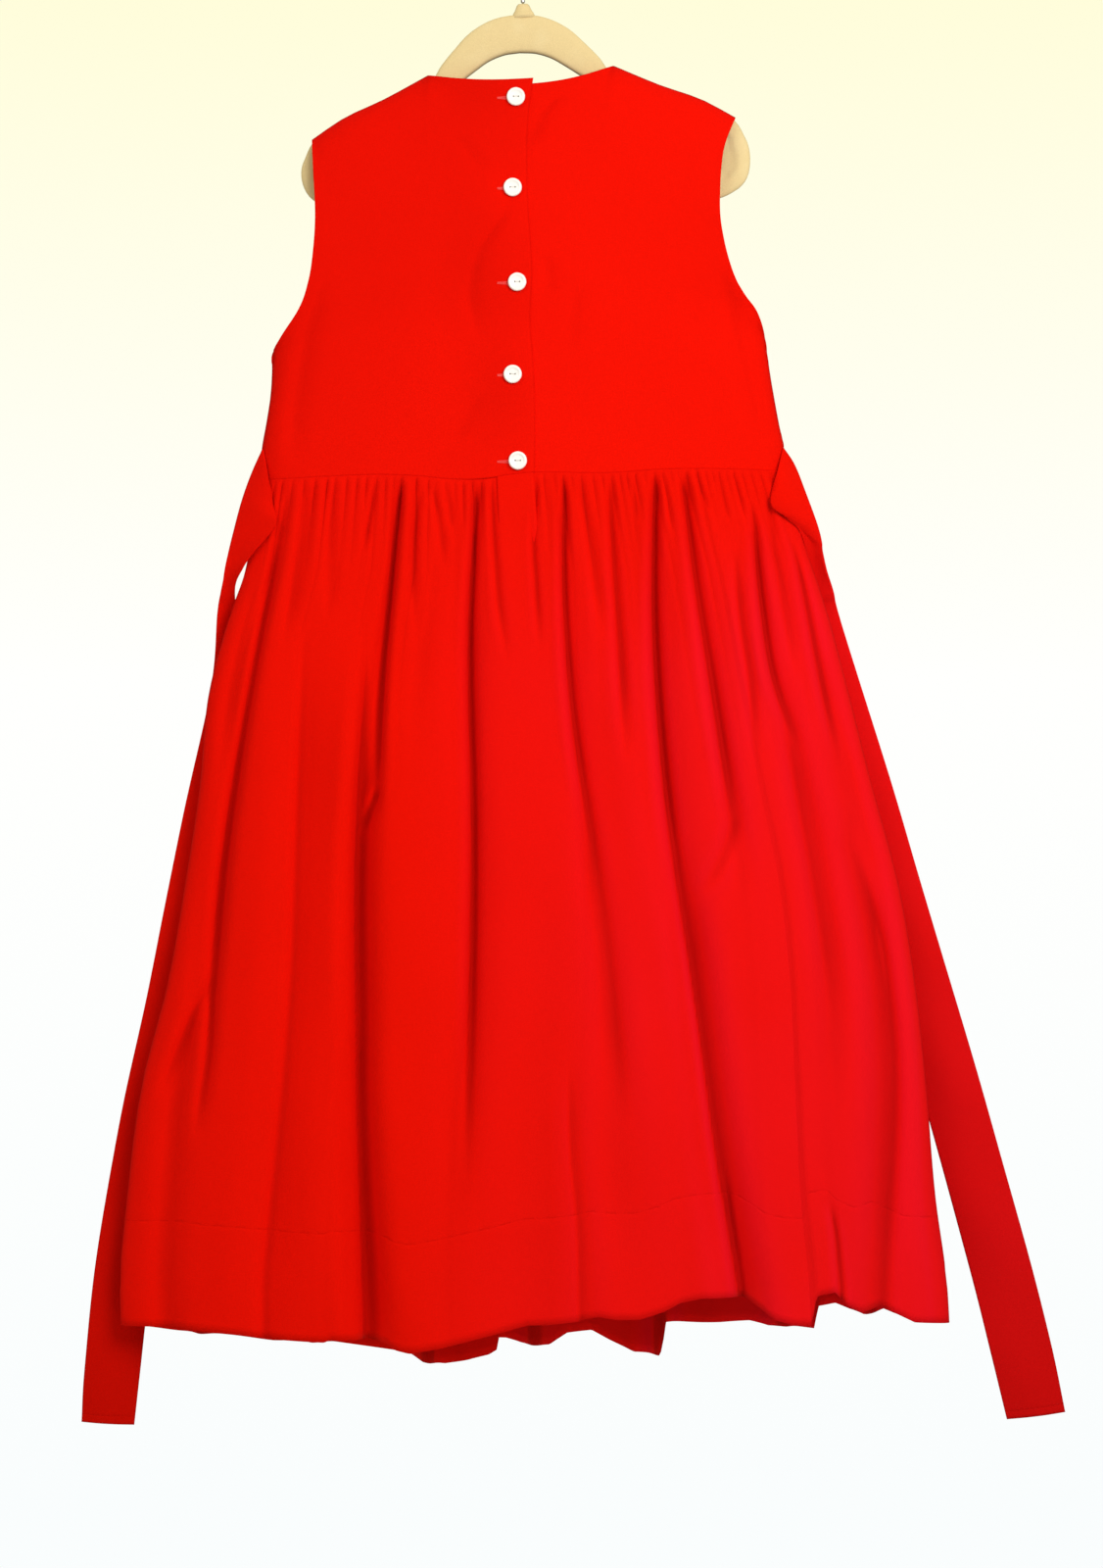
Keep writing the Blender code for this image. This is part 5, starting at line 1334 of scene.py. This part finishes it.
# Operators, one for each piece or group of like pieces
class DRESS_OT_bodice_back(Operator):
    """Sew the two lapped panels of the bodice's back"""

    bl_idname = "dress.bodice_back"
    bl_label = "Bodice back"

    def execute(self, context):
        sizes = context.scene.dress_sizes
        red = cotton("faced_cotton", lap_shaded=True)
        rows = seam_rows(170)[::-1]
        lap, under = share_of_x(LAP_EDGE_X), share_of_x(UNDERLAP_X)
        edge = graded(0.0, 0.03, 6, 1.8)
        left = join(edge, np.linspace(0.03, lap, 110))
        points = bodice_points(left, rows, BACK, BACK_NECK_DROP, 0.0, lift=lap_lift)
        args = (red, sizes.cloth, "hung", ["hanger_body"], BACK)
        cloth_piece("back_panel_upper", "bodice_back_left", points, *args)
        right = join(np.linspace(under, 0.97, 116), 1.0 - edge[::-1])
        points = bodice_points(right, rows, BACK, BACK_NECK_DROP + LAP_NECK_STEP, 0.0)
        cloth_piece("back_panel_under", "bodice_back_right", points, *args)
        return {"FINISHED"}


class DRESS_OT_bodice_front(Operator):
    """Pleat and smock the bodice's front"""

    bl_idname = "dress.bodice_front"
    bl_label = "Smocked front"

    def execute(self, context):
        sizes = context.scene.dress_sizes
        red = cotton("red_cotton")
        low, high = share_of_x(-SMOCK_REACH), share_of_x(SMOCK_REACH)
        columns = int(2 * SMOCK_REACH / sizes.pleat * 6)
        ends = graded(0.0, low, 26, 1.3), 1.0 - graded(0.0, 1.0 - high, 26, 1.3)[::-1]
        shares = join(ends[0], np.linspace(low, high, columns), ends[1])
        rows = seam_rows(118)[::-1]
        cuts = (FRONT_NECK_DROP, FRONT_ARMHOLE_CUT)
        points = bodice_points(shares, rows, FRONT, *cuts, relief=smocked)
        args = (red, sizes.cloth, "gathered", ["hanger_body"], FRONT)
        cloth_piece("front_panel", "bodice_front", points, *args)
        self.smocking(sizes)
        return {"FINISHED"}

    def smocking(self, sizes):
        """Rows of stitches, each over a pleat's crest, along straight and zigzag lines."""
        thread = sewing_thread("smocking_thread", bpy.context.scene.dress_colours.thread)
        sewn = Stitches("smocking_stitches")
        pleats = int(SMOCK_SEWN_REACH / sizes.pleat)
        k = np.arange(-pleats, pleats)
        x = (k + 0.5) * sizes.pleat
        for number, row in enumerate(SMOCK_ROWS):
            z = smock_path(row, x)
            rise = smock_path(row, x + 0.001) - z + 0.00025 * (-1.0) ** (k + number)
            depth = bodice_half_depth(np.stack([x, z], axis=-1)) + ripple(x, z)
            proud = depth + 0.45 * sizes.pleat_height * 0.65 + sizes.cloth / 2 + 0.0002
            for place in zip(x, proud, z, rise):
                along = (0.001, 0.0, place[3])
                sewn.add(place[:3], along, (0.0, 1.0, 0.0), sizes.pleat * 1.18, SMOCK_STITCH_WIDE)
        sewn.piece(thread)


class DRESS_OT_skirt(Operator):
    """Gather the skirt's back and front into the waist and bind its opening"""

    bl_idname = "dress.skirt"
    bl_label = "Skirt"

    def execute(self, context):
        sizes = context.scene.dress_sizes
        skirt_red = cotton("skirt_cotton", hem=sizes.hem)
        shares = skirt_stations(sizes.columns)
        drops = skirt_drops(128)
        points = back_skirt_grid(shares, drops)
        args = (skirt_red, sizes.cloth, "gathered", ["bodice_back_left", "bodice_back_right"])
        cloth_piece("skirt_back_cloth", "skirt_back", points, *args, BACK, from_hem=True)
        points = front_skirt_grid(shares, drops)
        args = (skirt_red, sizes.cloth, "gathered", ["bodice_front"])
        cloth_piece("skirt_front_cloth", "skirt_front", points, *args, FRONT, from_hem=True)
        self.placket(sizes)
        return {"FINISHED"}

    def placket(self, sizes):
        """The flat strip under the buttons, with its folded edges and its stitched end."""
        red = cotton("placket_cotton", stitch_rows=[(0.0060, 0.0026)])
        shares = np.linspace(PLACKET_FROM + 0.004, PLACKET_TO - 0.004, 34)
        drops = np.linspace(0.0, PLACKET_DROP, 72)
        points = back_skirt_grid(shares, drops, plain=True)
        across = np.abs(np.linspace(-1.0, 1.0, 34))[None, :]
        end = ramp(drops, PLACKET_DROP - 0.006, PLACKET_DROP)[:, None]
        turned_in = PLACKET_TURNED * ramp(across, 0.90, 1.0) + PLACKET_TURNED * end
        points[..., 1] -= PLACKET_PROUD - turned_in
        args = (red, sizes.cloth, "folded", ["skirt_back"], BACK)
        cloth_piece("placket_strip", "skirt_placket", points, *args, from_hem=True)


class DRESS_OT_sashes(Operator):
    """Hang a sash tie from each side seam"""

    bl_idname = "dress.sashes"
    bl_label = "Sashes"

    def execute(self, context):
        sizes = context.scene.dress_sizes
        red = cotton("sash_cotton", stitch_rows=[(0.0050, 0.0026)], low_shade=0.52)
        for name, table in (("sash_left", SASH_LEFT), ("sash_right", SASH_RIGHT)):
            points = sash_points(table, 300, 30)
            args = (red, sizes.sash_cloth, "hung", ["bodice_front"], BACK)
            cloth_piece(name + "_tie", name, points, *args, from_hem=True, shade_hollows=False)
        return {"FINISHED"}


class DRESS_OT_buttons(Operator):
    """Fasten five pearly buttons through their worked buttonholes"""

    bl_idname = "dress.buttons"
    bl_label = "Buttons"

    def execute(self, context):
        pearl = pearl_plastic()
        thread = sewing_thread("buttonhole_thread", context.scene.dress_colours.thread)
        white = sewing_thread("white_thread", (0.85, 0.80, 0.78))
        holes, ties = Stitches("buttonholes"), Stitches("button_threads")
        for number, spot in enumerate(BUTTONS, 1):
            reach = spot.x + BUTTON_RADIUS * np.array([-1.0, 0.0, 1.0])
            seat = float(back_surface_y(reach, np.full(3, spot.z)).min()) - 0.0002
            args = (48, (spot.x, seat, spot.z), pearl, BUTTON_RADIUS)
            button = turned(f"pearl_button_{number}", button_face(), *args)
            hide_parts(f"button_{number}")
            face = seat - 0.70 * BUTTON_THICK
            for lift in (-0.00022, 0.00022):
                tie = (spot.x, face, spot.z + lift)
                ties.add(tie, (1.0, 0.0, 0.0), (0.0, -1.0, 0.0), *TIE_STITCH)
            self.buttonhole(holes, spot)
        holes.piece(thread)
        ties.piece(white)
        return {"FINISHED"}

    def buttonhole(self, holes, spot):
        """Close stitches across both edges of a level slit, with a bar at its end."""
        left, right = HOLE_LEFT_X, spot.x + 0.0030
        level = spot.z - 0.0006
        t = (np.arange(34) + 0.5) / 34
        x = left + (right - left) * t
        for side in (-1, 1):
            z = level + side * (0.0002 + 0.0010 * t)
            for place in zip(x, back_surface_y(x, z) - 0.0001, z):
                holes.add(place, (0.05, 0.0, 1.0), (0.0, -1.0, 0.0), *HOLE_STITCH)
        z = level + (np.arange(3) - 1.0) * BAR_STITCH[1]
        x = np.full(z.shape, left - 0.0003)
        for place in zip(x, back_surface_y(x, z) - 0.00015, z):
            holes.add(place, (1.0, 0.0, 0.02), (0.0, -1.0, 0.0), *BAR_STITCH)


class DRESS_OT_hanger(Operator):
    """Make the flocked hanger, its collar and its wire hook"""

    bl_idname = "dress.hanger"
    bl_label = "Hanger"

    def execute(self, context):
        flock = beige_flock()
        loop = grid_piece("flocked_hanger", hanger_points(), flock, merge=True)
        # Painted shade: mark the arch's downward faces in the hollow map, so the flock is coloured darker
        # there
        painted_light = loop.data.attributes["hollow"].data
        for vert, mark in zip(loop.data.vertices, painted_light):
            faces_down = max(0.0, -vert.normal.z - 0.25)
            mark.value = faces_down * float(ramp(-abs(vert.co.x), *ARCH_SHADE))
        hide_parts("hanger_body")
        profile = (
            (0.0, NECK_FOOT_Z - 0.0022), (0.0076, NECK_FOOT_Z - 0.0022), (0.0064, NECK_FOOT_Z + 0.0008),
            (0.0054, NECK_FOOT_Z + 0.0022), (0.0046, NECK_FOOT_Z + 0.0040), (0.0040, NECK_TOP_Z - 0.0010),
            (0.0030, NECK_TOP_Z), (0.0, NECK_TOP_Z),
        )
        collar = turned("hanger_collar", [(r, -z) for r, z in profile], 32, (0.0, 0.0, 0.0), flock)
        for vert in collar.data.vertices:
            x, up, deep = vert.co
            x, z = photo_frame(x + NECK_X, up)
            vert.co = (x, -deep * COLLAR_FLAT, z)
        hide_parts("hanger_neck")
        hook = grid_piece("wire_hook", hook_points(), hook_steel(), merge=True)
        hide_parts("hanger_hook")
        return {"FINISHED"}


class DRESS_OT_stage(Operator):
    """Set out the pale floor, the soft lights and the camera"""

    bl_idname = "dress.stage"
    bl_label = "Stage"

    def execute(self, context):
        self.floor()
        self.room(context.scene)
        for lamp in LAMPS:
            self.lamp(*lamp)
        camera = bpy.data.cameras.new("photo_camera")
        camera.lens = CAMERA_LENS
        camera.sensor_width = 36.0
        seen = bpy.data.objects.new("photo_camera", camera)
        seen.location = CAMERA_PLACE
        seen.rotation_euler = (math.pi / 2, 0.0, 0.0)
        context.collection.objects.link(seen)
        context.scene.camera = seen
        context.scene.view_settings.view_transform = "Standard"
        return {"FINISHED"}

    def floor(self):
        """A wide round floor far below the hem."""
        bm = bmesh.new()
        bmesh.ops.create_circle(bm, cap_ends=True, segments=96, radius=FLOOR_RADIUS)
        bmesh.ops.translate(bm, verts=bm.verts, vec=(0.0, 0.0, FLOOR_Z))
        mesh = mesh_of(bm, "studio_floor")
        mesh.materials.append(pale_floor())
        floor = bpy.data.objects.new("studio_floor", mesh)
        bpy.context.collection.objects.link(floor)

    def room(self, scene):
        """Pale studio light all round, a little warm above and cool below."""
        scene.world = bpy.data.worlds.new("studio_light")
        paint = Paint(scene.world, "Background")
        up = paint.parts(paint.add("ShaderNodeTexCoord"))[2]
        sky = paint.add("ShaderNodeValToRGB", None, {0: up * 2.2 + 0.5})
        colours = sky.socket.node.color_ramp.elements
        colours[0].position, colours[0].color = 0.10, (0.955, 0.982, 0.985, 1.0)
        colours[1].position, colours[1].color = 0.95, (1.0, 0.98, 0.70, 1.0)
        colours.new(0.56).color = (1.0, 1.0, 0.985, 1.0)
        seen = paint.add("ShaderNodeLightPath")
        room = (up * 0.55 + 0.85) * ROOM_LIGHT
        paint.set(Color=sky, Strength=paint.add("ShaderNodeMix", None, {0: seen, 2: room, 3: 1.0}))

    def lamp(self, name, place, aim, size, power, colour):
        light = bpy.data.lights.new(name, "AREA")
        light.shape = "DISK"
        light.size = size
        light.energy = power
        light.color = colour
        made = bpy.data.objects.new(name, light)
        made.location = place
        made.rotation_euler = (Vector(aim) - Vector(place)).to_track_quat("-Z", "Y").to_euler()
        bpy.context.collection.objects.link(made)


class DRESS_PT_panel(Panel):
    """Lists the dress's sizes, colours and pieces"""

    bl_label = "Smocked dress"
    bl_idname = "DRESS_PT_panel"
    bl_space_type = "VIEW_3D"
    bl_region_type = "UI"
    bl_category = "Dress"

    def draw(self, context):
        layout = self.layout
        for group in (context.scene.dress_sizes, context.scene.dress_colours):
            box = layout.box()
            for name in group.__annotations__:
                box.prop(group, name)
        for piece in OPERATORS:
            layout.operator(piece.bl_idname)


OPERATORS = (
    DRESS_OT_bodice_back,
    DRESS_OT_bodice_front,
    DRESS_OT_skirt,
    DRESS_OT_sashes,
    DRESS_OT_buttons,
    DRESS_OT_hanger,
    DRESS_OT_stage,
)
CLASSES = (DressSizes, DressColours) + OPERATORS + (DRESS_PT_panel,)


def register():
    for made in CLASSES:
        bpy.utils.register_class(made)
    bpy.types.Scene.dress_sizes = PointerProperty(type=DressSizes)
    bpy.types.Scene.dress_colours = PointerProperty(type=DressColours)


def unregister():
    del bpy.types.Scene.dress_colours
    del bpy.types.Scene.dress_sizes
    for made in reversed(CLASSES):
        bpy.utils.unregister_class(made)


def main():
    """Sew every piece and set the stage."""
    register()
    bpy.ops.dress.bodice_back()
    bpy.ops.dress.bodice_front()
    bpy.ops.dress.skirt()
    bpy.ops.dress.sashes()
    bpy.ops.dress.buttons()
    bpy.ops.dress.hanger()
    bpy.ops.dress.stage()


if __name__ == "__main__":
    main()
